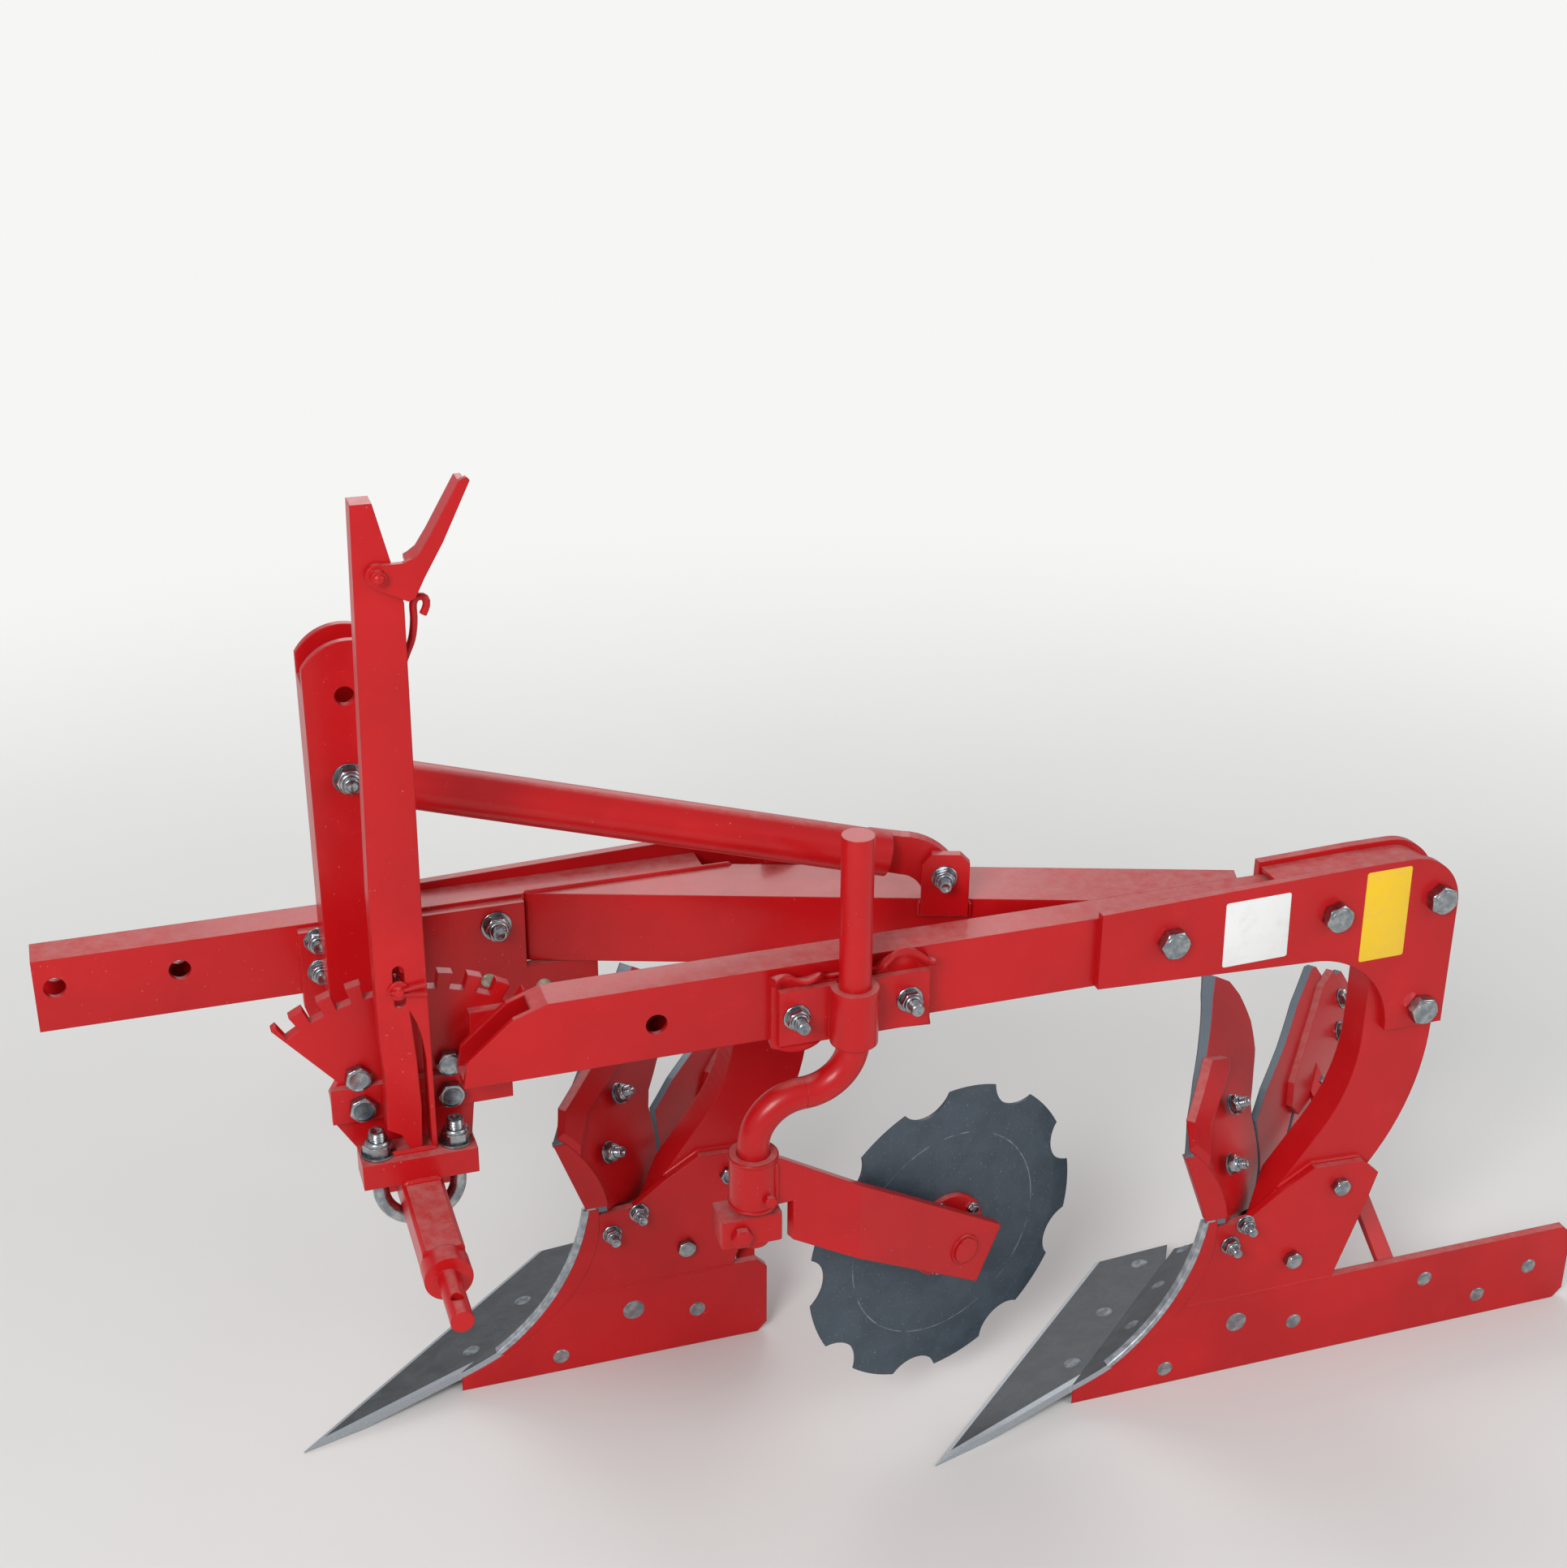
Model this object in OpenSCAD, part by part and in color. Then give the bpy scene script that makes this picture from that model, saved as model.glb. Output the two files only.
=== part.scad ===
// Mounted two-furrow moldboard plough with slatted boards, one disc coulter,
// a toothed quadrant with a hand lever, a cross shaft with lower pins and a braced mast.
// X points forward along the direction of travel, Y to the left, Z up from the ground.
// All drawing is done in a working frame whose zero is the front lower corner of the
// front landside; to_origin() then moves it to the middle of the whole plough.

/* [Layout] */

// distance between the two bodies along the direction of travel
body_pitch = 660; // [560:1:760]

// width of one furrow, the sideways step from one body to the next
furrow_w = 234; // [200:1:300]

/* [Beams] */

// height of every beam
beam_h = 80; // [60:1:100]

// height of the underside of the beams over the ground
beam_z = 545; // [480:1:620]

// width of the two long beams
beam_w = 40; // [30:1:60]

// width of the slanting beam
diag_w = 75; // [60:1:90]

// wall of the beams
beam_wall = 6; // [4:0.5:10]

// forward reach of the right beam in front of the front landside corner
beam_front = 381; // [300:1:450]

// forward end of the left beam, measured the same way
left_front = -4; // [-60:1:60]

// length of each long beam behind the body's landside corner
beam_back = 315; // [280:1:360]

// diameter of the through holes in the long beams
beam_hole_d = 22; // [16:0.5:26]

/* [Leg and side plates] */

// thickness of the plates that hold each leg
side_plate_t = 10; // [6:1:14]

// width of the leg seen from the side
leg_w = 88; // [60:1:100]

// radius of the leg's bend at its middle line
leg_r = 253; // [180:1:300]

// angle by which the leg bends forward
leg_bend = 36; // [25:1:45]

// size of the bolts that hold the leg
leg_bolt_d = 20; // [14:1:24]

/* [Landside and frog] */

// height of the landside
landside_h = 104; // [80:1:130]

// thickness of the landside and of the frog plate
landside_t = 10; // [6:1:14]

// length of the front landside
landside_front_l = 385; // [300:1:450]

// length of the rear landside
landside_rear_l = 675; // [500:1:800]

/* [Share] */

// distance of the share point in front of the landside corner
tip_x = 170; // [120:1:220]

// distance of the share point to the left of the landside
tip_y = 50; // [0:1:70]

// distance of the share wing behind the landside corner
wing_x = 157; // [100:1:220]

// distance of the share wing to the right of the landside
wing_y = 231; // [180:1:280]

// slope of the share
share_slope = 16.5; // [10:0.5:25]

// thickness of the share
share_t = 10; // [6:0.5:14]

// width of the share on the ground
share_w = 84; // [60:1:110]

/* [Mouldboard] */

// radius of the board's curve
board_r = 200; // [180:5:260]

// slope at which the board rises from the share
board_start = 30; // [20:1:40]

// thickness of the boards and slats
board_t = 8; // [5:0.5:12]

/* [Headstock] */

// thickness of the headstock plate and of the quadrant plate
plate_t = 12; // [8:1:16]

// height of the shaft's middle line over the ground
shaft_z = 438; // [400:1:480]

// forward position of the shaft
shaft_x = 43; // [20:1:70]

// side of the square shaft
shaft_a = 40; // [30:1:60]

// distance between the pin shoulders
hitch_span = 683; // [600:1:760]

// diameter of the lower pins
pin_d = 22; // [20:1:28]

// length of the lower pins
pin_l = 66; // [50:1:80]

// radius of the quadrant over the teeth
tooth_r = 214; // [180:1:240]

// depth of the gaps between the teeth
tooth_gap_h = 17; // [10:1:25]

// width of the gaps between the teeth
tooth_gap_w = 15; // [10:1:20]

// angle from one gap to the next
tooth_pitch = 8; // [6:0.5:12]

/* [Mast] */

// height of the upper hole over the shaft
mast_rise = 460; // [400:1:520]

// width of the mast, front to back
mast_x = 84; // [60:1:100]

// width of the mast, side to side
mast_y = 55; // [40:1:80]

// thickness of the mast's walls
mast_t = 8; // [5:1:12]

// diameter of the upper hole
top_hole_d = 19.5; // [19:0.1:26]

// outer diameter of the bracing tube
strut_d = 48; // [38:1:60]

// wall of the bracing tube
strut_wall = 4; // [3:0.5:6]

/* [Lever] */

// width of the hand lever
lever_w = 48; // [38:1:60]

// depth of the hand lever, side to side
lever_d = 24; // [16:1:35]

// height of the lever's top over the shaft
lever_top = 700; // [600:5:780]

// thickness of the lever's sheet
lever_t = 5; // [3:0.5:8]

/* [Coulter] */

// diameter of the coulter's stem
stem_d = 33; // [28:1:40]

// height of the stem's top over the ground
stem_top = 774; // [700:5:850]

// forward offset made by the stem's double bend
stem_step = 106; // [80:1:130]

// outer diameter of the sleeve on the stem
sleeve_d = 50; // [44:1:60]

// radius of the disc
disc_r = 180; // [150:1:200]

// thickness of the disc
disc_t = 5; // [3:0.5:8]

// number of notches in the disc
notch_n = 9; // [6:1:14]

// radius of each notch
notch_r = 34; // [20:1:40]

// distance from the stem's line to the axle of the disc
trail = 251; // [200:1:300]

// height of the axle over the ground
axle_z = 235; // [200:1:280]

// turn of the arm to the right of straight back
arm_turn = 16; // [0:1:30]

/* [Fits] */

// gap all round between a turning bore and its pin
run_gap = 0.5; // [0.2:0.1:1]

/* [Hidden] */

$fn = 64;
eps = 0.01;

red = [0.72, 0.07, 0.08];
dark = [0.24, 0.26, 0.28];
blue_grey = [0.25, 0.31, 0.35];

beam_top = beam_z + beam_h;
// outer face of the beams seen from the left, measured from the landside plane
beam_face = -landside_t;
left_y = furrow_w + beam_face;
rear = [-body_pitch, furrow_w, 0];

// direction of the share edge seen from above
edge_turn = 180 + atan2(wing_y + tip_y, wing_x + tip_x);
edge_l = sqrt(pow(wing_y + tip_y, 2) + pow(wing_x + tip_x, 2));
// height of the share's top at its edge and at its back
share_lip = 1.6;
share_top = share_lip + share_w * tan(share_slope);
// the board is one arc that starts from the upper back corner of the share;
// its middle stands at this height, and the board is furthest back there
board_z0 = share_top + board_r * cos(board_start);
board_s0 = share_w + board_r * (1 - sin(board_start));
board_arc_s = board_s0 - board_r;
// height for which the outlines of the board's pieces are drawn
drawn_z0 = 200;

// bend of the legs, arch and rounded corner of the plates that hold them
leg_x = -140;
leg_z = 425;
leg_up_l = 175;
leg_foot_l = 150;
arch_x = -266;
arch_z = 432;
arch_r = 104;
plate_rise = 18;
plate_corner = 62;
plate_heel = -442;
plate_nose = -12;

plate_a_y = beam_face;
mast_y0 = beam_face + plate_t;
mast_mid = mast_y0 + mast_y / 2;
mast_front = shaft_x + 56;
quad_y = 162;
strip_t = 8;
quad_face = quad_y + plate_t;
lever_y = quad_face + strip_t + 17;
block_y = lever_y - 2;
block_d = 40;
block_l = 112;
block_h = 27;
lever_x = shaft_x + 5;
latch_t = 6;
slot_x = 2;
slot_z = shaft_z + 212;
slot_w = 11;
slot_l = 34;
top_hole_x = shaft_x + 17;
top_hole_z = shaft_z + mast_rise;

pin_left = mast_mid + hitch_span / 2;
pin_right = mast_mid - hitch_span / 2;
heel_x = -body_pitch - landside_rear_l;
mid_x = (beam_front + heel_x) / 2;
mid_y = (pin_left + pin_l + pin_right - pin_l) / 2;

// plan line of the slanting beam's left face
diag_turn = 19;
diag_x0 = -117;
diag_len = 800;

stem_x = -395;
backing_t = 10;
stem_y = left_y + backing_t + stem_d / 2;
low_x = stem_x + stem_step;
bend_r = stem_step / 2;
bend_top = beam_z + 1;
bend_low = bend_top - 2 * bend_r;
strap_t = 8;
strap_h = 62;
strap_neck = stem_d + 2 * strap_t - 5;
strap_gap = stem_d - 5;
strap_front = 76;
strap_back = 84;
clamp_z = beam_z;
clamp_bolts = [stem_x - 62, stem_x + 58];
clamp_bolt_z = beam_z + 32;
clamp_bolt_d = 17;
sleeve_z0 = 372;
sleeve_z1 = 432;
arm_t = 12;
arm_n = 27;
hub_flange_d = 118;
hub_flange_t = 6;
notch_h = 20;
notch_turn = 19;

module to_origin() {
  translate([-mid_x, -mid_y, 0]) children();
}

module y_bore(x, z, d, y0, y1) {
  translate([x, y1, z]) rotate([90, 0, 0]) cylinder(h = y1 - y0, d = d);
}

function arc_points(r, from, to) =
  [for (i = [0 : 12]) let (a = from + (to - from) * i / 12) [r * cos(a), r * sin(a)]];

// extrudes a shape drawn in X and Z between two planes of constant Y
module side_plate(y0, y1) {
  translate([0, y1, 0]) rotate([90, 0, 0]) linear_extrude(y1 - y0) children();
}

module box_beam(x0, x1, y0) {
  difference() {
    translate([x0, y0, beam_z]) cube([x1 - x0, beam_w, beam_h]);
    translate([x0 - 1, y0 + beam_wall, beam_z + beam_wall])
      cube([x1 - x0 + 2, beam_w - 2 * beam_wall, beam_h - 2 * beam_wall]);
  }
}

module right_beam() {
  color(red) to_origin() difference() {
    box_beam(-beam_back, beam_front, beam_face - beam_w);
    for (x = [361, 239])
      y_bore(x, beam_z + 48, beam_hole_d, beam_face - beam_w - 1, beam_face + 1);
  }
}

module left_beam() {
  y0 = left_y - beam_w;
  color(red) to_origin() difference() {
    box_beam(-body_pitch - beam_back, left_front, y0);
    // slanting cut of the front end that lets the lever swing back
    side_plate(y0 - 1, left_y + 1)
      polygon([
        [left_front - 5, beam_z + 28], [left_front - 52, beam_z + 68],
        [left_front - 88, beam_top + 0.5], [left_front - 88, beam_top + 20],
        [left_front + 30, beam_top + 20], [left_front + 30, beam_z - 5],
        [left_front, beam_z - 5]
      ]);
    y_bore(-198, beam_z + 38, beam_hole_d, y0 - 1, left_y + 1);
  }
}

module diag_plan(inset) {
  // plan of the slanting beam between the faces of the two long beams
  intersection() {
    translate([diag_x0, beam_face]) rotate(-diag_turn)
      translate([-diag_len + 40, -diag_w + inset]) square([diag_len, diag_w - 2 * inset]);
    translate([-1200, beam_face]) square([1200 + diag_x0, left_y - beam_w - beam_face]);
  }
}

module diagonal_beam() {
  color(red) to_origin() difference() {
    translate([0, 0, beam_z]) linear_extrude(beam_h) diag_plan(0);
    translate([0, 0, beam_z + beam_wall]) linear_extrude(beam_h - 2 * beam_wall)
      diag_plan(beam_wall);
  }
}

module headstock_plate() {
  color(red) to_origin() difference() {
    side_plate(plate_a_y, plate_a_y + plate_t) polygon([
      [120, beam_top - 4], [120, beam_z - 10], [100, shaft_z + 30],
      [shaft_x + 38, shaft_z - 32], [shaft_x - 38, shaft_z - 32],
      [-60, shaft_z + 20], [-192, beam_z - 48], [-192, beam_z - 1],
      [diag_x0 + 2, beam_z - 1], [diag_x0 + 2, beam_top - 4]
    ]);
    y_bore(shaft_x, shaft_z, shaft_a * 1.3 + 2 * run_gap, plate_a_y - 1, plate_a_y + 20);
  }
}

module quadrant_plate() {
  color(red) to_origin() {
    difference() {
      side_plate(quad_y, quad_face) {
        intersection() {
          translate([shaft_x, shaft_z]) circle(r = tooth_r, $fn = 128);
          polygon([
            [shaft_x, shaft_z + 30], [shaft_x + 190, shaft_z + 250],
            [shaft_x - 190, shaft_z + 250]
          ]);
        }
        polygon([
          [118, 530], [116, 500], [95, 465], [80, 408], [6, 408], [-16, 440], [-22, 500],
          [-14, 560], [100, 560]
        ]);
      }
      for (i = [-4 : 4])
        translate([shaft_x, quad_y - 1, shaft_z]) rotate([0, i * tooth_pitch, 0])
          translate([-tooth_gap_w / 2, 0, tooth_r - tooth_gap_h])
            cube([tooth_gap_w, plate_t + 2, 40]);
      y_bore(shaft_x, shaft_z, shaft_a * 1.3 + 2 * run_gap, quad_y - 1, quad_face + 1);
    }
    // strip that runs on from the foot of the left beam
    translate([-60, quad_face, 502]) cube([178, strip_t, 38]);
    // packing between the quadrant and the left beam
    translate([-100, quad_face, beam_z + 10])
      cube([80, left_y - beam_w - quad_face, beam_h - 30]);
  }
}

module cross_member() {
  y0 = plate_a_y + plate_t;
  color(red) to_origin() difference() {
    union() {
      translate([12, y0, 478]) cube([62, quad_y - y0, 80]);
      translate([-22, quad_y - 8, 488]) cube([130, 8, 70]);
    }
    translate([18, y0 - 1, 484]) cube([50, quad_y - y0 - 6, 68]);
  }
}

module mast_side() {
  difference() {
    union() {
      translate([mast_front - mast_x, 559]) square([mast_x, top_hole_z + 28 - 559]);
      intersection() {
        translate([top_hole_x - 6, top_hole_z + 4]) circle(d = mast_x + 20);
        translate([mast_front - mast_x, top_hole_z - 20]) square([mast_x, 100]);
      }
    }
    translate([top_hole_x, top_hole_z]) circle(d = top_hole_d);
    translate([62, 812]) circle(d = 17);
  }
}

module mast() {
  color(red) to_origin() {
    side_plate(mast_y0, mast_y0 + mast_t) mast_side();
    side_plate(mast_y0 + mast_y - mast_t, mast_y0 + mast_y) mast_side();
    translate([mast_front - mast_t, mast_y0 + mast_t - eps, 559])
      cube([mast_t, mast_y - 2 * mast_t + 2 * eps, top_hole_z + 10 - 559]);
  }
}

strut_p0 = [82, mast_mid, 809];
strut_p1 = [-478, 112, 676];
// bolt of the strut's ear on the slanting beam
ear_bolt = [-535, 134, 655];
ear_t = 14;
ear_in = 24;
ear_w = 44;
ear_drop = -26;

module along_diag() {
  translate(ear_bolt) rotate([0, 0, -diag_turn]) children();
}

// flattened end of the tube, bent down to the bolt
module strut_ear() {
  along_diag() rotate([90, 0, 0]) linear_extrude(ear_t) difference() {
    translate([ear_w / 2 + ear_in, ear_drop]) polygon(concat(
      arc_points(ear_in + ear_w, 180, 90), [[34, 72], [34, 30]], arc_points(ear_in, 90, 180)
    ));
    circle(d = 17);
  }
}

module strut() {
  v = strut_p1 - strut_p0;
  l = norm(v);
  color(red) to_origin() {
    difference() {
      translate(strut_p0) rotate([0, acos(v[2] / l), atan2(v[1], v[0])])
        cylinder(h = l, d = strut_d);
      translate(strut_p0) rotate([0, acos(v[2] / l), atan2(v[1], v[0])])
        translate([0, 0, -1]) cylinder(h = l - 20, d = strut_d - 2 * strut_wall);
      // flats that let the end pass between the mast's sides
      for (s = [-1, 1])
        translate([mast_front - mast_x - 12, mast_mid + s * 40 - 20.5, 700])
          cube([200, 41, 200]);
    }
    strut_ear();
  }
}

// plate with cut corners that stands on the slanting beam's face
module strut_bracket() {
  color(red) to_origin() along_diag() difference() {
    side_plate(0, 10) polygon([
      [-26, -45], [24, -45], [24, 14], [14, 26], [-16, 26], [-26, 16]
    ]);
    y_bore(0, 0, 17, -1, 11);
  }
}

// outline of the two plates that hold a leg: straight below the beam, then an arch
// that ends in a short lower edge, with a round upper corner at the back
module leg_plate_outline() {
  corner_x = plate_heel + plate_corner;
  top = beam_top + plate_rise;
  difference() {
    union() {
      polygon([
        [plate_nose, beam_z + 1], [plate_nose, top - 10], [-330, top], [corner_x, top],
        [plate_heel, top - plate_corner], [plate_heel, arch_z], [arch_x, arch_z],
        [arch_x, arch_z + arch_r]
      ]);
      translate([corner_x, top - plate_corner]) circle(r = plate_corner);
    }
    translate([arch_x, arch_z]) circle(r = arch_r, $fn = 128);
    for (p = [[-94, 590], [-289, 590], [-417, 592], [-412, 455]])
      translate(p) circle(d = leg_bolt_d + 1);
  }
}

module leg_plates(at, cut_near, cut_low, cut_far) {
  color(red) to_origin() translate(at) {
    side_plate(beam_face, 0) intersection() {
      leg_plate_outline();
      union() {
        translate([-600, 0]) square([600 - cut_near, 800]);
        translate([-600, 0]) square([600 - cut_low, beam_z]);
      }
    }
    side_plate(beam_face - beam_w - side_plate_t, beam_face - beam_w) intersection() {
      leg_plate_outline();
      translate([-600, 0]) square([600 - cut_far, 800]);
    }
  }
}

// the leg is one flat bar: it comes straight down, bends forward and runs on straight
module leg_bar() {
  inner = leg_r - leg_w / 2;
  outer = leg_r + leg_w / 2;
  turn = 180 + leg_bend;
  foot = leg_foot_l * [-sin(turn), cos(turn)];
  side_plate(beam_face - beam_w, beam_face) translate([leg_x, leg_z]) polygon(concat(
    [[-outer, leg_up_l]],
    arc_points(outer, 180, turn),
    [outer * [cos(turn), sin(turn)] + foot, inner * [cos(turn), sin(turn)] + foot],
    arc_points(inner, turn, 180),
    [[-inner, leg_up_l]]
  ));
}

module leg(at) {
  color(red) to_origin() translate(at) difference() {
    leg_bar();
    // its foot is cut off flat behind the slats
    edge_frame() translate([-100, -board_s0 - 3 * board_t, -10]) cube([1000, 800, 800]);
  }
}

module frog(at) {
  color(red) to_origin() translate(at) {
    difference() {
      side_plate(-landside_t, 0) polygon([
        [-90, landside_h], [-141, 160], [-170, 206], [-225, 210], [-262, 238],
        [-303, 263], [-367, 260], [-388, 240], [-378, 206], [-343, landside_h]
      ]);
      ahead(board_t);
    }
    // backing of the landside
    difference() {
      side_plate(-landside_t - 10, -landside_t) polygon([
        [-40, 12], [-250, 12], [-250, 108], [-292, 128], [-221, 180], [-170, 190], [-60, 120]
      ]);
      ahead(3 * board_t);
      leg_bar();
    }
  }
}

module landside(at, len) {
  color(red) to_origin() translate(at) difference() {
    side_plate(-landside_t, 0) polygon([
      [20, 0], [-20, 60], [-60, landside_h],
      [-len + 12, landside_h], [-len, landside_h - 12], [-len, 12], [-len + 12, 0]
    ]);
    ahead(board_t);
  }
}

module edge_frame() {
  translate([tip_x, tip_y, 0]) rotate([0, 0, edge_turn]) children();
}

module share(at) {
  color(dark) to_origin() translate(at) intersection() {
    edge_frame() translate([0, 0, share_lip]) rotate([-share_slope, 0, 0])
      translate([-60, -share_w - 40, -share_t]) cube([edge_l + 160, share_w + 60, share_t]);
    linear_extrude(80) polygon([
      [tip_x, tip_y], [-14, 0], [-120, 0], [-245, -212], [-wing_x, -wing_y]
    ]);
    edge_frame() translate([-60, -share_w, 0]) cube([edge_l + 160, share_w, 80]);
  }
}

// everything in front of the share's back and of a surface parallel to the board
module ahead(back) {
  edge_frame() rotate([90, 0, 90]) linear_extrude(900) mirror([1, 0]) {
    translate([-200, -50]) square([200 + share_w, 50 + share_top]);
    intersection() {
      translate([board_arc_s, board_z0]) circle(r = board_r + back, $fn = 256);
      square([2 * board_r, 3 * board_r]);
    }
  }
}

// side view of the curved board, s backwards and z up
module board_profile(back, thick) {
  intersection() {
    difference() {
      translate([board_arc_s, board_z0]) circle(r = board_r + back + thick, $fn = 256);
      translate([board_arc_s, board_z0]) circle(r = board_r + back, $fn = 256);
    }
    square([2 * board_r, 3 * board_r]);
  }
}

module board_shell(back, thick) {
  edge_frame() rotate([90, 0, 90]) linear_extrude(900)
    mirror([1, 0]) board_profile(back, thick);
}

// outline points are the run along the share edge and the height, for the drawn curve
function lifted(outline) = [for (p = outline) [p[0], p[1] * board_z0 / drawn_z0]];

// place on a surface behind the board, from run and height
function board_at(run, height, back) =
  let (
    z = height * board_z0 / drawn_z0,
    s = board_arc_s + sqrt(pow(board_r + back, 2) - pow(z - board_z0, 2))
  )
  [
    tip_x + run * cos(edge_turn) + s * sin(edge_turn),
    tip_y + run * sin(edge_turn) - s * cos(edge_turn),
    z
  ];

// cuts a piece out of the board, its outline drawn along the edge and in height
module board_piece(back, thick, outline) {
  intersection() {
    board_shell(back, thick);
    edge_frame() rotate([90, 0, 0]) linear_extrude(320) polygon(lifted(outline));
    translate([-900, -600, 0]) cube([1100, 600, 700]);
  }
}

LOWER_BOARD = [
  [100, 17], [476, 17], [482, 50], [470, 95], [440, 150], [400, 192], [340, 222],
  [240, 222], [120, 60]
];

module mouldboard(at) {
  color(dark) to_origin() translate(at) intersection() {
    board_piece(0, board_t, LOWER_BOARD);
    edge_frame() translate([0, -400, 0]) cube([900, 400 - share_w, 400]);
  }
}

// three slats that fan out backwards from the lower board, the first with a pointed end
SLATS = [
  [
    [258, 212], [325, 212], [396, 180], [412, 229], [416, 262], [419, 286], [430, 300],
    [462, 318], [491, 332], [518, 352], [536, 372], [541, 383], [530, 391], [492, 384],
    [422, 367], [360, 351], [304, 333], [264, 312]
  ],
  [
    [402, 150], [440, 120], [478, 190], [535, 244], [590, 272], [645, 289], [700, 306],
    [716, 318], [714, 336], [703, 338], [628, 326], [549, 307], [475, 292], [428, 277],
    [422, 255], [418, 215]
  ],
  [
    [450, 90], [486, 48], [520, 110], [566, 165], [620, 205], [690, 232], [760, 262],
    [772, 290], [766, 310], [752, 311], [687, 297], [630, 279], [590, 262], [540, 234],
    [486, 182]
  ]
];

module slats(at) {
  color(red) to_origin() translate(at)
    for (s = SLATS) board_piece(board_t, board_t, s);
}

// strip welded down the first slat, and the plate that joins the other two
FIRST_STRIP = [
  [288, 238], [300, 248], [288, 276], [288, 304], [316, 326], [410, 346], [424, 353],
  [392, 363], [292, 341], [260, 314], [258, 268]
];
JOINT_PLATE = [
  [512, 256], [530, 236], [590, 238], [676, 218], [704, 234], [718, 262], [738, 292],
  [734, 326], [690, 324], [596, 298], [572, 290], [531, 276]
];

module slat_bracket(at) {
  color(red) to_origin() translate(at) difference() {
    for (plate = [FIRST_STRIP, JOINT_PLATE]) board_piece(2 * board_t, board_t, plate);
    translate([-600, -landside_t, 0]) cube([700, 100, 268]);
  }
}

// flat bar from the landside to the plate behind the slats
module stay(at, x) {
  p0 = [x, -4, landside_h - 16];
  v = board_at(588, 250, 3 * board_t) - p0;
  l = norm(v);
  color(red) to_origin() translate(at) difference() {
    translate(p0) rotate([0, acos(v[2] / l), atan2(v[1], v[0])])
      translate([-4, -11, -5]) cube([8, 22, l + 30]);
    translate([-600, -landside_t, 0]) cube([700, 100, 700]);
    ahead(3 * board_t);
  }
}

// strap bent round the stem, with an ear on each side
module coulter_clamp() {
  y0 = left_y + backing_t;
  color(red) to_origin() difference() {
    translate([stem_x, 0, clamp_z]) linear_extrude(strap_h) difference() {
      union() {
        translate([0, stem_y]) circle(r = stem_d / 2 + strap_t);
        translate([-strap_neck / 2, y0]) square([strap_neck, stem_d / 2]);
        translate([-strap_back, y0]) square([strap_back + strap_front, strap_t]);
      }
      translate([0, stem_y]) circle(d = stem_d);
      translate([-strap_gap / 2, y0 - 1]) square([strap_gap, stem_d / 2]);
      translate([-100, y0 - 50]) square([200, 50]);
    }
    for (x = clamp_bolts) y_bore(x, clamp_bolt_z, clamp_bolt_d, y0 - 1, y0 + 20);
  }
}

// pressed plate between the beam and the strap, its upper corners flared outwards
module clamp_backing() {
  color(red) to_origin() difference() {
    for (part = [[-strap_back - 4, -stem_d / 2 - 12], [-stem_d / 2 - 12, stem_d / 2 + 12],
                 [stem_d / 2 + 12, strap_front + 6]])
      translate([stem_x + part[0], left_y, clamp_z - 2]) rotate([90, 0, 90])
        linear_extrude(part[1] - part[0]) {
          square([backing_t, strap_h + 2]);
          if (abs(part[0] + part[1]) > 1) polygon([
            [0, strap_h + 2 - eps], [backing_t, strap_h + 2 - eps], [backing_t + 12, strap_h + 12],
            [backing_t + 8, strap_h + 18], [0, strap_h + 8]
          ]);
        }
    for (x = clamp_bolts) y_bore(x, clamp_bolt_z, clamp_bolt_d, left_y - 1, left_y + 20);
  }
}

// upper part of the stem, down to the middle of the double bend
module coulter_stem() {
  color(red) to_origin() translate([stem_x, stem_y, 0]) {
    translate([0, 0, bend_top]) cylinder(h = stem_top - bend_top, d = stem_d);
    translate([bend_r, 0, bend_top]) rotate([90, 0, 0]) rotate([0, 0, 180])
      rotate_extrude(angle = 90, $fn = 96) translate([bend_r, 0]) circle(d = stem_d);
  }
}

// lower bend and the upright that carries the arm
module coulter_foot() {
  color(red) to_origin() translate([stem_x, stem_y, 0]) {
    translate([stem_step - bend_r, 0, bend_low]) rotate([90, 0, 0])
      rotate_extrude(angle = 90, $fn = 96) translate([bend_r, 0]) circle(d = stem_d);
    translate([stem_step, 0, 326]) cylinder(h = bend_low - 326, d = stem_d);
  }
}

module coulter_collar() {
  color(red) to_origin() translate([low_x, stem_y, 0]) difference() {
    union() {
      translate([0, 0, 332]) cylinder(h = 34, d = 52);
      translate([-4, -20, 338]) cube([44, 40, 24]);
    }
    translate([0, 0, 300]) cylinder(h = 100, d = stem_d);
  }
}

module arm_frame() {
  translate([low_x, stem_y, 0]) rotate([0, 0, 180 + arm_turn]) children();
}

module arm_side() {
  polygon([
    [8, 430], [18, 430], [164, 337], [302, 247], [270, 184], [86, 294], [34, 326], [34, 374],
    [8, 374]
  ]);
}

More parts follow.
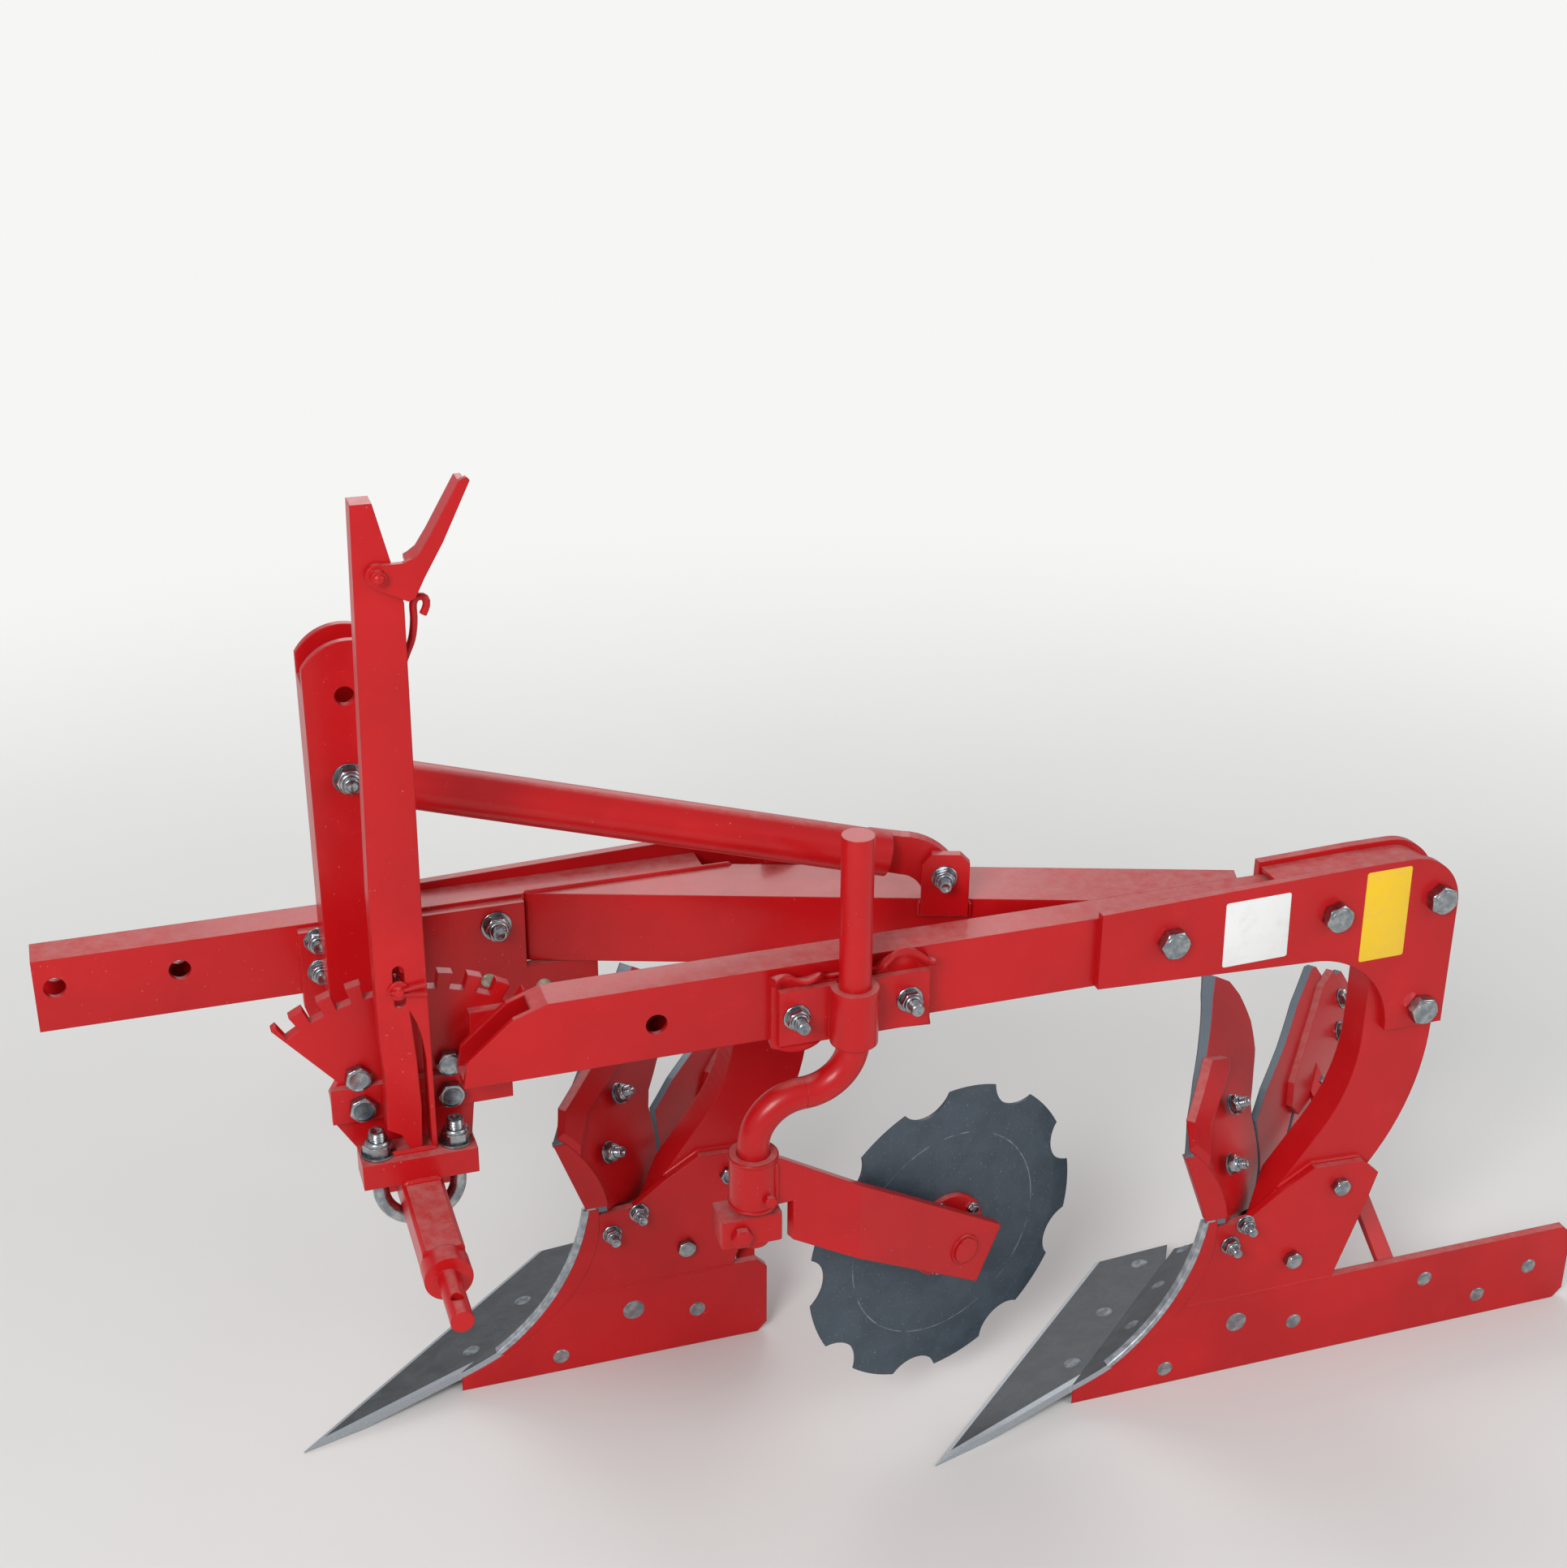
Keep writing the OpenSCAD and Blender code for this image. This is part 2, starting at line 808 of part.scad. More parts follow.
module coulter_arm() {
  color(red) to_origin() arm_frame() {
    difference() {
      union() {
        translate([0, 0, sleeve_z0]) cylinder(h = sleeve_z1 - sleeve_z0, d = sleeve_d);
        intersection() {
          linear_extrude(600) mirror([0, 1]) polygon([
            [10, 8], [110, arm_n], [330, arm_n], [330, arm_n + arm_t],
            [108, arm_n + arm_t], [8, 18]
          ]);
          rotate([90, 0, 0]) translate([0, 0, -10]) linear_extrude(80) arm_side();
        }
        // axle of the disc
        translate([trail, 0, axle_z]) rotate([90, 0, 0])
          translate([0, 0, -16]) cylinder(h = 16 + arm_n + arm_t + 2, d = 20);
        translate([trail, -arm_n + eps, axle_z]) rotate([90, 0, 0])
          cylinder(h = arm_t + 2, d = 36);
      }
      translate([0, 0, sleeve_z0 - 1])
        cylinder(h = sleeve_z1 - sleeve_z0 + 2, d = stem_d + 2 * run_gap);
    }
  }
}

module disc() {
  color(blue_grey) to_origin() arm_frame()
    translate([trail, 0, axle_z]) rotate([90, 0, 0]) difference() {
      rotate_extrude($fn = 128) polygon([
        [24, -disc_t / 2], [disc_r - 22, -disc_t / 2], [disc_r, -0.6], [disc_r, 0.6],
        [disc_r - 22, disc_t / 2], [24, disc_t / 2]
      ]);
      for (i = [0 : notch_n - 1])
        rotate([0, 0, i * 360 / notch_n + notch_turn])
          translate([disc_r - notch_h + notch_r, 0, -10]) cylinder(h = 20, r = notch_r);
    }
}

module disc_hub() {
  color(red) to_origin() arm_frame()
    translate([trail, 0, axle_z]) rotate([90, 0, 0]) difference() {
      union() {
        translate([0, 0, disc_t / 2]) cylinder(h = hub_flange_t, d = hub_flange_d);
        translate([0, 0, -14]) cylinder(h = 14 + 21, d = 47.5);
        translate([0, 0, -disc_t / 2 - hub_flange_t])
          cylinder(h = hub_flange_t, d = hub_flange_d);
      }
      translate([0, 0, -20]) cylinder(h = 60, d = 20 + 2 * run_gap);
    }
}

module cross_shaft() {
  color(red) to_origin() translate([shaft_x, 0, shaft_z]) {
    intersection() {
      translate([-shaft_a / 2, pin_right + 22, -shaft_a / 2])
        cube([shaft_a, pin_left - pin_right - 44, shaft_a]);
      translate([0, pin_left, 0]) rotate([90, 0, 0])
        cylinder(h = pin_left - pin_right, d = shaft_a * 1.3);
    }
    y_bore(0, 0, 46, pin_left - 22, pin_left);
    y_bore(0, 0, 46, pin_right, pin_right + 22);
    difference() {
      union() {
        y_bore(0, 0, pin_d, pin_left - 1, pin_left + pin_l);
        y_bore(0, 0, pin_d, pin_right - pin_l, pin_right + 1);
      }
      for (y = [pin_left + 42, pin_right - 42])
        translate([0, y, -30]) cylinder(h = 60, d = 11.5);
    }
  }
}

module lever_base() {
  color(red) to_origin() difference() {
    translate([shaft_x - block_l / 2, block_y, shaft_z + shaft_a / 2])
      cube([block_l, block_d, block_h]);
    for (x = [-38, 38])
      translate([shaft_x + x, block_y + 20, shaft_z]) cylinder(h = 80, d = 17);
  }
}

// sheet channel, closed towards the left: a slanted top, a slot for the latch pin and
// a foot where the web narrows to a rib that comes free of the rear flange
module lever() {
  z0 = shaft_z + shaft_a / 2 + block_h;
  zt = shaft_z + lever_top;
  rear_x = -lever_w / 2;
  front_x = lever_w / 2;
  web_y = lever_y + lever_d - lever_t;
  color(red) to_origin() translate([lever_x, 0, 0]) difference() {
    side_plate(lever_y, lever_y + lever_d) polygon([
      [rear_x, z0], [rear_x, zt - 380], [rear_x - 3, zt - 92], [rear_x + 19, zt],
      [front_x - 10, zt], [front_x, zt - 380], [front_x, z0 + 130], [front_x - 3, z0 + 80],
      [front_x - 1, z0 + 28], [front_x - 14, z0 + 20], [1, z0]
    ]);
    // hollow of the channel, open towards the frame
    side_plate(lever_y - 1, web_y) polygon([
      [rear_x + lever_t, z0 - 1], [rear_x + lever_t, zt - 380], [rear_x + lever_t - 2, zt - 112],
      [front_x - lever_t - 7, zt - 112], [front_x - lever_t, zt - 380],
      [front_x - lever_t - 3, z0 + 80], [front_x - lever_t - 3, z0 - 1]
    ]);
    // curved gap between the rib and the rear flange
    side_plate(web_y - 1, web_y + lever_t + 1) polygon([
      [-6, z0 + 156], [-12, z0 + 142], [-16, z0 + 126], [rear_x + lever_t, z0 + 100],
      [rear_x + lever_t, z0 - 1], [-9, z0 - 1], [-11, z0 + 50], [-9.5, z0 + 105]
    ]);
    // slot of the latch pin
    side_plate(lever_y - 1, lever_y + lever_d + 1) {
      for (rise = [0, slot_l]) translate([slot_x, slot_z + rise]) circle(d = slot_w);
      translate([slot_x - slot_w / 2, slot_z]) square([slot_w, slot_l]);
    }
  }
}

// pressed trigger: a flat side on the pivot and a flange folded along the handle's top
module latch() {
  y0 = lever_y + lever_d;
  pivot_z = shaft_z + 636;
  color(red) to_origin() translate([shaft_x, 0, pivot_z]) {
    side_plate(y0, y0 + latch_t) {
      circle(r = 11);
      polygon([
        [5, 10], [-11, 10], [-22, 10], [-30, 13], [-37, 18], [-47, 33], [-74, 79],
        [-81, 82], [-84, 79], [-58, 26], [-40, -5], [-31, -23], [-25, -25], [5, -10]
      ]);
    }
    side_plate(y0 - 18, y0 + eps) polygon([
      [-26, 11], [-30, 13], [-37, 18], [-47, 33], [-74, 79], [-80, 79], [-51, 31],
      [-40, 14], [-32, 8], [-26, 7]
    ]);
    y_bore(0, 0, 14, y0, y0 + 12);
  }
}

right_beam();
left_beam();
diagonal_beam();
headstock_plate();
quadrant_plate();
cross_member();
mast();
strut();
strut_bracket();
leg_plates([0, 0, 0], 380, 194, 12);  // front_leg_plates
leg_plates(rear, 12, 12, 220);  // rear_leg_plates
leg([0, 0, 0]);  // front_leg
leg(rear);  // rear_leg
frog([0, 0, 0]);  // front_frog
frog(rear);  // rear_frog
landside([0, 0, 0], landside_front_l);  // front_landside
landside(rear, landside_rear_l);  // rear_landside
share([0, 0, 0]);  // front_share
share(rear);  // rear_share
mouldboard([0, 0, 0]);  // front_mouldboard
mouldboard(rear);  // rear_mouldboard
slats([0, 0, 0]);  // front_slats
slats(rear);  // rear_slats
slat_bracket([0, 0, 0]);  // front_slat_bracket
slat_bracket(rear);  // rear_slat_bracket
stay([0, 0, 0], -360);  // front_stay
stay(rear, -425);  // rear_stay
coulter_clamp();
clamp_backing();
coulter_stem();
coulter_foot();
coulter_collar();
cross_shaft();
lever_base();
lever();
latch();
coulter_arm();
disc();
disc_hub();
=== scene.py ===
"""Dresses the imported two-furrow mounted plough: sprayed red enamel, hardened share steel,
zinc-plated bolts and nuts, painted weld beads, U-bolt, latch rod and blank label plates."""

import math

import bpy
import numpy as np
from mathutils import Matrix, Vector


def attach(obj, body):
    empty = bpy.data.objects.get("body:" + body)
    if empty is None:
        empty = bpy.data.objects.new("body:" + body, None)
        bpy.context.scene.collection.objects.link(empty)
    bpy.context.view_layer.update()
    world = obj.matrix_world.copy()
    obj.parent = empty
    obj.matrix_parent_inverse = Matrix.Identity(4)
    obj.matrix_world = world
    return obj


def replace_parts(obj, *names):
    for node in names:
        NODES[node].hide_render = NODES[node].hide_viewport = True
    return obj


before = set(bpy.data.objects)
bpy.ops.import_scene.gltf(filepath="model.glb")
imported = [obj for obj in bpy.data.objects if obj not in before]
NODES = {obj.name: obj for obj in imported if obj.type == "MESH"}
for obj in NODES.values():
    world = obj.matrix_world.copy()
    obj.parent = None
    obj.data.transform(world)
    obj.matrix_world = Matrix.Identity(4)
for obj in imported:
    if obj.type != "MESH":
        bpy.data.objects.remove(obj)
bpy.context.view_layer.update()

# Layout, in millimetres. Places are measured from the front lower corner of the front
# landside, X forward, Y to the left, Z up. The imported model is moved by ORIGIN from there.
ORIGIN = np.array([477.0, -29.5, 0.0])
FRONT = np.array([0.0, 0.0, 0.0])
REAR = np.array([-660.0, 234.0, 0.0])

LEFT_FACE = 224.0
PLATE_FACE = 2.0
QUAD_FACE = 174.0
STRIP_FACE = 182.0
SHAFT_X = 43.0
SHAFT_Z = 438.0
LEVER_FACE = 223.0
BLOCK_TOP = 485.0
BLOCK_Y = 217.0

# the share edge runs from the tip to the wing; the board is one arc behind it
TIP = np.array([170.0, 50.0])
WING = np.array([-157.0, -231.0])
BOARD_R = 200.0
BOARD_S = -16.0
BOARD_Z = 199.7
BOARD_T = 8.0
SHARE_SLOPE = math.radians(16.5)
SHARE_LIP = 1.6
SHARE_CORNER = np.array([-14.0, 0.0, 0.0])
UPWARD = np.array([0.0, 0.0, 1.0])
EDGE = (WING - TIP) / np.linalg.norm(WING - TIP)
BACKWARD = np.array([EDGE[1], -EDGE[0], 0.0])

# the arm of the disc turns about the stem
STEM = np.array([-289.0, 250.5, 0.0])
ARM_TURN = math.radians(196.0)
TRAIL = 251.0
AXLE_Z = 235.0
SCRIBED_RING = 124.0

MM = 0.001


def metres(points):
    """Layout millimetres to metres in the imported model's frame."""
    return (np.asarray(points, float) + ORIGIN) * MM


def linear(hex_colour):
    """sRGB hex to the linear colour that shaders expect."""
    parts = [int(hex_colour[i:i + 2], 16) / 255 for i in (1, 3, 5)]
    return [c / 12.92 if c <= 0.04045 else ((c + 0.055) / 1.055) ** 2.4 for c in parts] + [1.0]


# Materials

SMOOTH = {"interpolation_type": "SMOOTHSTEP"}
COLOURS = {"data_type": "RGBA"}
ENAMEL = "#BE1015"
ENAMEL_DEEP = "#B00D12"
ENAMEL_LIGHT = "#C81E22"
# pale pink of dust, also used as painted light on faces that look up
DUST_AND_TOP_LIGHT = "#B98783"
SCALE_DARK = "#34373A"
SCALE_BLUE = "#484D52"
SCALE_GRIT = "#8D8A84"
# brown that the bare board face takes towards its top
HIGH_BARE_BROWN = "#5B463C"
GROUND_DARK = "#868D93"
GROUND_STEEL = "#B4BABF"
EARTH = "#5F4F45"
DISC_DARK = "#3C4852"
DISC_BLUE = "#47545F"
DISC_GRIT = "#A9A39A"
SCRIBED = "#8B959C"
ZINC_DULL = "#8C8474"


def node(tree, kind, inputs, output=0, **settings):
    """Adds one shader node with its settings. Inputs are values, or sockets that get linked.
    Returns the output socket that is asked for."""
    made = tree.nodes.new("ShaderNode" + kind)
    for key, value in settings.items():
        setattr(made, key, value)
    for key, value in inputs.items():
        if isinstance(value, bpy.types.NodeSocket):
            tree.links.new(value, made.inputs[key])
        else:
            made.inputs[key].default_value = value
    return made.outputs[output] if made.outputs else None


def grain(coords, size_mm, detail=3.0, rough=0.55, distortion=0.0):
    """What a noise needs so that its blotches are about size_mm across."""
    return {"Vector": coords, "Scale": 1 / (size_mm * MM), "Detail": detail,
            "Roughness": rough, "Distortion": distortion}


def new_material(name):
    """An empty material with its Principled shader and its texture coordinates."""
    made = bpy.data.materials.new(name)
    made.use_nodes = True
    tree = made.node_tree
    coords = tree.nodes.new("ShaderNodeTexCoord")
    return made, tree, tree.nodes["Principled BSDF"], coords


def finish_shader(tree, shader, colour, roughness, height, strength, depth_mm, round_mm=0.0):
    """Links colour, roughness and bump to the shader; round_mm softens the light on edges."""
    relief = {"Strength": strength, "Distance": depth_mm * MM, "Height": height}
    if round_mm > 0:
        relief["Normal"] = node(tree, "Bevel", {"Radius": round_mm * MM}, samples=4)
    tree.links.new(colour, shader.inputs["Base Color"])
    tree.links.new(roughness, shader.inputs["Roughness"])
    tree.links.new(node(tree, "Bump", relief), shader.inputs["Normal"])


def enamel_colour(tree, coords, dust=0.5):
    """Colour and roughness of sprayed enamel: slow shade changes, a pale film on what faces up
    that is partly fine dust and partly painted light falling from above, and a few pale specks of
    grit."""
    obj = coords.outputs["Object"]
    slow = node(tree, "TexNoise", grain(obj, 170, 2.0))
    shade = node(tree, "MapRange", {0: slow, 1: 0.35, 2: 0.7}, **SMOOTH)
    colour = node(tree, "Mix", {0: shade, 6: linear(ENAMEL_DEEP), 7: linear(ENAMEL)}, 2, **COLOURS)
    patch = node(tree, "TexNoise", grain(obj, 34, 4.0))
    light = node(tree, "MapRange", {0: patch, 1: 0.5, 2: 0.8}, **SMOOTH)
    light = node(tree, "Math", {0: light, 1: 0.3}, operation="MULTIPLY")
    colour = node(tree, "Mix", {0: light, 6: colour, 7: linear(ENAMEL_LIGHT)}, 2, **COLOURS)
    # painted top light and dust: faces that look up are lightened towards the pale pink, partly
    # real dust and partly painted light from above
    up = node(tree, "SeparateXYZ", {0: coords.outputs["Normal"]}, 2)
    up = node(tree, "MapRange", {0: up, 1: 0.85, 2: 0.998}, **SMOOTH)
    film = node(tree, "TexNoise", grain(obj, 14, 7.0, 0.72))
    film = node(tree, "MapRange", {0: film, 1: 0.1, 2: 0.85}, **SMOOTH)
    # the amount called dust scales both the dust and the painted top light
    film = node(tree, "Math", {0: film, 1: dust}, operation="MULTIPLY")
    film = node(tree, "Math", {0: film, 1: up}, operation="MULTIPLY")
    speck = node(tree, "TexNoise", grain(obj, 2.4, 0.0))
    speck = node(tree, "MapRange", {0: speck, 1: 0.84, 2: 0.88}, **SMOOTH)
    speck = node(tree, "Math", {0: speck, 1: 0.4}, operation="MULTIPLY")
    film = node(tree, "Math", {0: film, 1: speck}, operation="MAXIMUM", use_clamp=True)
    colour = node(tree, "Mix", {0: film, 6: colour, 7: linear(DUST_AND_TOP_LIGHT)}, 2, **COLOURS)
    rough = node(tree, "Math", {0: patch, 1: 0.12, 2: 0.26}, operation="MULTIPLY_ADD")
    rough = node(tree, "Math", {0: film, 1: 0.45, 2: rough}, operation="MULTIPLY_ADD",
                 use_clamp=True)
    return colour, rough


def sprayed_enamel(name, dust, round_mm=0.0):
    """Red implement enamel over mild steel, sprayed: glossy, with dust and painted top light on
    what faces up, and a skin of orange peel about 3 mm wide with a grit of about a millimetre on
    it."""
    made, tree, shader, coords = new_material(name)
    colour, rough = enamel_colour(tree, coords, dust)
    peel = node(tree, "TexNoise", grain(coords.outputs["Object"], 3.2, 2.0))
    grit = node(tree, "TexNoise", grain(coords.outputs["Object"], 0.9, 1.0))
    skin = node(tree, "Math", {0: grit, 1: 0.3, 2: peel}, operation="MULTIPLY_ADD")
    finish_shader(tree, shader, colour, rough, skin, 0.14, 0.25, round_mm)
    shader.inputs["Specular IOR Level"].default_value = 0.3
    shader.inputs["Coat Weight"].default_value = 0.12
    shader.inputs["Coat Roughness"].default_value = 0.12
    return made


def hardened_colour(tree, coords):
    """Quenched spring steel: dark blue-grey scale, cloudy, with faint earth stains."""
    obj = coords.outputs["Object"]
    cloud = node(tree, "TexNoise", grain(obj, 26, 5.0, 0.6, 0.6))
    shade = node(tree, "MapRange", {0: cloud, 1: 0.3, 2: 0.75}, **SMOOTH)
    colour = node(tree, "Mix", {0: shade, 6: linear(SCALE_DARK), 7: linear(SCALE_BLUE)}, 2,
                  **COLOURS)
    stain = node(tree, "TexNoise", grain(obj, 60, 5.0, 0.7))
    stain = node(tree, "MapRange", {0: stain, 1: 0.52, 2: 0.8}, **SMOOTH)
    stain = node(tree, "Math", {0: stain, 1: 0.3}, operation="MULTIPLY")
    colour = node(tree, "Mix", {0: stain, 6: colour, 7: linear(EARTH)}, 2, **COLOURS)
    speck = node(tree, "TexNoise", grain(obj, 2.0, 1.0))
    speck = node(tree, "MapRange", {0: speck, 1: 0.72, 2: 0.78}, **SMOOTH)
    speck = node(tree, "Math", {0: speck, 1: 0.6}, operation="MULTIPLY")
    colour = node(tree, "Mix", {0: speck, 6: colour, 7: linear(SCALE_GRIT)}, 2, **COLOURS)
    rough = node(tree, "Math", {0: cloud, 1: 0.25, 2: 0.32}, operation="MULTIPLY_ADD")
    return colour, rough, cloud


def along(tree, coords, direction, point):
    """Distance in metres of a place from point, measured along a direction."""
    run = node(tree, "VectorMath", {0: coords.outputs["Object"], 1: tuple(direction)}, 1,
               operation="DOT_PRODUCT")
    start = float(np.dot(direction, metres(point)))
    return node(tree, "Math", {0: run, 1: start}, operation="SUBTRACT")


def share_steel(name, shift):
    """Hardened share with its landside edge ground bright about 9 mm wide, a thin bright
    cutting edge, grinding lines and pale scratches."""
    made, tree, shader, coords = new_material(name)
    colour, rough, cloud = hardened_colour(tree, coords)
    obj = coords.outputs["Object"]
    tip = np.append(TIP, 0.0) + shift
    side = SHARE_CORNER + shift - tip
    side = side / np.linalg.norm(side)
    lip = along(tree, coords, BACKWARD, tip)
    lip = node(tree, "MapRange", {0: lip, 1: 0.0035, 2: 0.0045}, **SMOOTH)
    lip = node(tree, "Math", {0: 1.0, 1: lip}, operation="SUBTRACT")
    band = along(tree, coords, np.array([-side[1], side[0], 0.0]), tip)
    band = node(tree, "MapRange", {0: band, 1: 0.0085, 2: 0.0095}, **SMOOTH)
    band = node(tree, "Math", {0: 1.0, 1: band}, operation="SUBTRACT")
    ground = node(tree, "Math", {0: lip, 1: band}, operation="MAXIMUM")
    lines = node(tree, "TexNoise", grain(obj, 1.5, 2.0, 0.5, 0.2))
    bright = node(tree, "Mix", {0: lines, 6: linear(GROUND_DARK), 7: linear(GROUND_STEEL)}, 2,
                  **COLOURS)
    colour = node(tree, "Mix", {0: ground, 6: colour, 7: bright}, 2, **COLOURS)
    rough = node(tree, "Math", {0: ground, 1: -0.12, 2: rough}, operation="MULTIPLY_ADD",
                 use_clamp=True)
    height = node(tree, "TexNoise", grain(obj, 2.5))
    height = node(tree, "Math", {0: height, 1: cloud}, operation="ADD")
    finish_shader(tree, shader, colour, rough, height, 0.2, 0.3, 1.0)
    shader.inputs["Metallic"].default_value = 0.35
    return made


def board_steel(name, shift, back_mm, rim_colours, brown):
    """A bent board: bare dark steel on the side that turns the soil, a rim of its own colour
    and red enamel on the back. The side is told by the distance from the arc's middle. The
    bare face turns brown with height; brown says how strongly."""
    made, tree, shader, coords = new_material(name)
    obj = coords.outputs["Object"]
    reach = along(tree, coords, BACKWARD, np.append(TIP, 0.0) + shift + BOARD_S * BACKWARD)
    rise = along(tree, coords, UPWARD, [0.0, 0.0, BOARD_Z])
    depth = node(tree, "CombineXYZ", {0: reach, 1: rise})
    depth = node(tree, "VectorMath", {0: depth}, 1, operation="LENGTH")
    depth = node(tree, "Math", {0: depth, 1: (BOARD_R + back_mm) * MM}, operation="SUBTRACT")
    bare, bare_rough, cloud = hardened_colour(tree, coords)
    # the bare face is browner towards the top, by height alone
    rise = node(tree, "MapRange", {0: rise, 1: -0.13, 2: 0.03}, **SMOOTH)
    rise = node(tree, "Math", {0: rise, 1: brown}, operation="MULTIPLY")
    bare = node(tree, "Mix", {0: rise, 6: bare, 7: linear(HIGH_BARE_BROWN)}, 2, **COLOURS)
    # enamel on the back, with the same dust and painted top light on what faces up
    paint, paint_rough = enamel_colour(tree, coords, 0.25)
    painted = node(tree, "MapRange", {0: depth, 1: (BOARD_T - 0.6) * MM, 2: (BOARD_T - 0.3) * MM},
                   **SMOOTH)
    rim = node(tree, "MapRange", {0: depth, 1: 0.0005, 2: 0.0008}, **SMOOTH)
    lines = node(tree, "TexNoise", grain(obj, 1.6, 2.0))
    bright = node(tree, "Mix", {0: lines, 6: linear(rim_colours[0]), 7: linear(rim_colours[1])},
                  2, **COLOURS)
    colour = node(tree, "Mix", {0: rim, 6: bare, 7: bright}, 2, **COLOURS)
    colour = node(tree, "Mix", {0: painted, 6: colour, 7: paint}, 2, **COLOURS)
    rough = node(tree, "Mix", {0: painted, 2: bare_rough, 3: paint_rough}, data_type="FLOAT")
    metal = node(tree, "Math", {0: painted, 1: -0.35, 2: 0.35}, operation="MULTIPLY_ADD",
                 use_clamp=True)
    tree.links.new(metal, shader.inputs["Metallic"])
    height = node(tree, "TexNoise", grain(obj, 3.0))
    height = node(tree, "Math", {0: height, 1: cloud}, operation="ADD")
    finish_shader(tree, shader, colour, rough, height, 0.18, 0.25, 0.8)
    return made


def disc_steel(name, centre, axis):
    """Pressed disc of boron steel, painted thin blue-grey, with pale grit and a broken
    scribed ring about the axle."""
    made, tree, shader, coords = new_material(name)
    obj = coords.outputs["Object"]
    away = node(tree, "VectorMath", {0: obj, 1: tuple(metres(centre))}, operation="SUBTRACT")
    turned = node(tree, "VectorMath", {0: away, 1: tuple(axis)}, operation="CROSS_PRODUCT")
    radius = node(tree, "VectorMath", {0: turned}, 1, operation="LENGTH")
    cloud = node(tree, "TexNoise", grain(obj, 35, 5.0, 0.65, 0.4))
    shade = node(tree, "MapRange", {0: cloud, 1: 0.3, 2: 0.75}, **SMOOTH)
    colour = node(tree, "Mix", {0: shade, 6: linear(DISC_DARK), 7: linear(DISC_BLUE)}, 2,
                  **COLOURS)
    speck = node(tree, "TexNoise", grain(obj, 2.0, 1.0))
    speck = node(tree, "MapRange", {0: speck, 1: 0.7, 2: 0.76}, **SMOOTH)
    speck = node(tree, "Math", {0: speck, 1: 0.55}, operation="MULTIPLY")
    colour = node(tree, "Mix", {0: speck, 6: colour, 7: linear(DISC_GRIT)}, 2, **COLOURS)
    ring = node(tree, "Math", {0: radius, 1: SCRIBED_RING * MM}, operation="SUBTRACT")
    ring = node(tree, "Math", {0: ring}, operation="ABSOLUTE")
    ring = node(tree, "MapRange", {0: ring, 1: 0.0004, 2: 0.0011}, **SMOOTH)
    ring = node(tree, "Math", {0: 1.0, 1: ring}, operation="SUBTRACT")
    broken = node(tree, "TexNoise", grain(obj, 22))
    broken = node(tree, "MapRange", {0: broken, 1: 0.4, 2: 0.62}, **SMOOTH)
    ring = node(tree, "Math", {0: ring, 1: broken}, operation="MULTIPLY")
    ring = node(tree, "Math", {0: ring, 1: 0.7}, operation="MULTIPLY")
    colour = node(tree, "Mix", {0: ring, 6: colour, 7: linear(SCRIBED)}, 2, **COLOURS)
    rough = node(tree, "Math", {0: cloud, 1: 0.2, 2: 0.36}, operation="MULTIPLY_ADD")
    height = node(tree, "TexNoise", grain(obj, 2.5))
    height = node(tree, "Math", {0: height, 1: ring}, operation="SUBTRACT")
    finish_shader(tree, shader, colour, rough, height, 0.2, 0.3, 0.8)
    shader.inputs["Metallic"].default_value = 0.2
    return made


def zinc_plate(name, base="#878E95", tint="#B3B7B8", metal=1.0, dullness=0.0):
    """Bright zinc plating on bolts: cool silver with faint yellow and blue clouds."""
    made, tree, shader, coords = new_material(name)
    obj = coords.outputs["Object"]
    cloud = node(tree, "TexNoise", grain(obj, 9))
    shade = node(tree, "MapRange", {0: cloud, 1: 0.35, 2: 0.7}, **SMOOTH)
    colour = node(tree, "Mix", {0: shade, 6: linear(base), 7: linear(tint)}, 2, **COLOURS)
    dull = node(tree, "TexNoise", grain(obj, 3, 4.0))
    stain = node(tree, "MapRange", {0: dull, 1: 0.5, 2: 0.8}, **SMOOTH)
    stain = node(tree, "Math", {0: stain, 1: 0.5}, operation="MULTIPLY")
    colour = node(tree, "Mix", {0: stain, 6: colour, 7: linear(ZINC_DULL)}, 2, **COLOURS)
    rough = node(tree, "Math", {0: dull, 1: 0.2, 2: 0.14 + dullness}, operation="MULTIPLY_ADD")
    height = node(tree, "TexNoise", grain(obj, 0.8, 2.0))
    finish_shader(tree, shader, colour, rough, height, 0.1, 0.05)
    shader.inputs["Metallic"].default_value = metal
    return made


def label_film(name, hex_colour):
    """Vinyl label left blank: smooth, slightly glossy, with a thin film of dust."""
    made, tree, shader, coords = new_material(name)
    obj = coords.outputs["Object"]
    film = node(tree, "TexNoise", grain(obj, 14, 5.0, 0.65))
    film = node(tree, "MapRange", {0: film, 1: 0.4, 2: 0.85}, **SMOOTH)
    film = node(tree, "Math", {0: film, 1: 0.16}, operation="MULTIPLY")
    # here the pale colour is only a dust film, spread by noise
    colour = node(tree, "Mix", {0: film, 6: linear(hex_colour), 7: linear(DUST_AND_TOP_LIGHT)}, 2,
                  **COLOURS)
    rough = node(tree, "Math", {0: film, 1: 0.8, 2: 0.3}, operation="MULTIPLY_ADD")
    height = node(tree, "TexNoise", grain(obj, 6, 2.0))
    finish_shader(tree, shader, colour, rough, height, 0.05, 0.05)
    return made


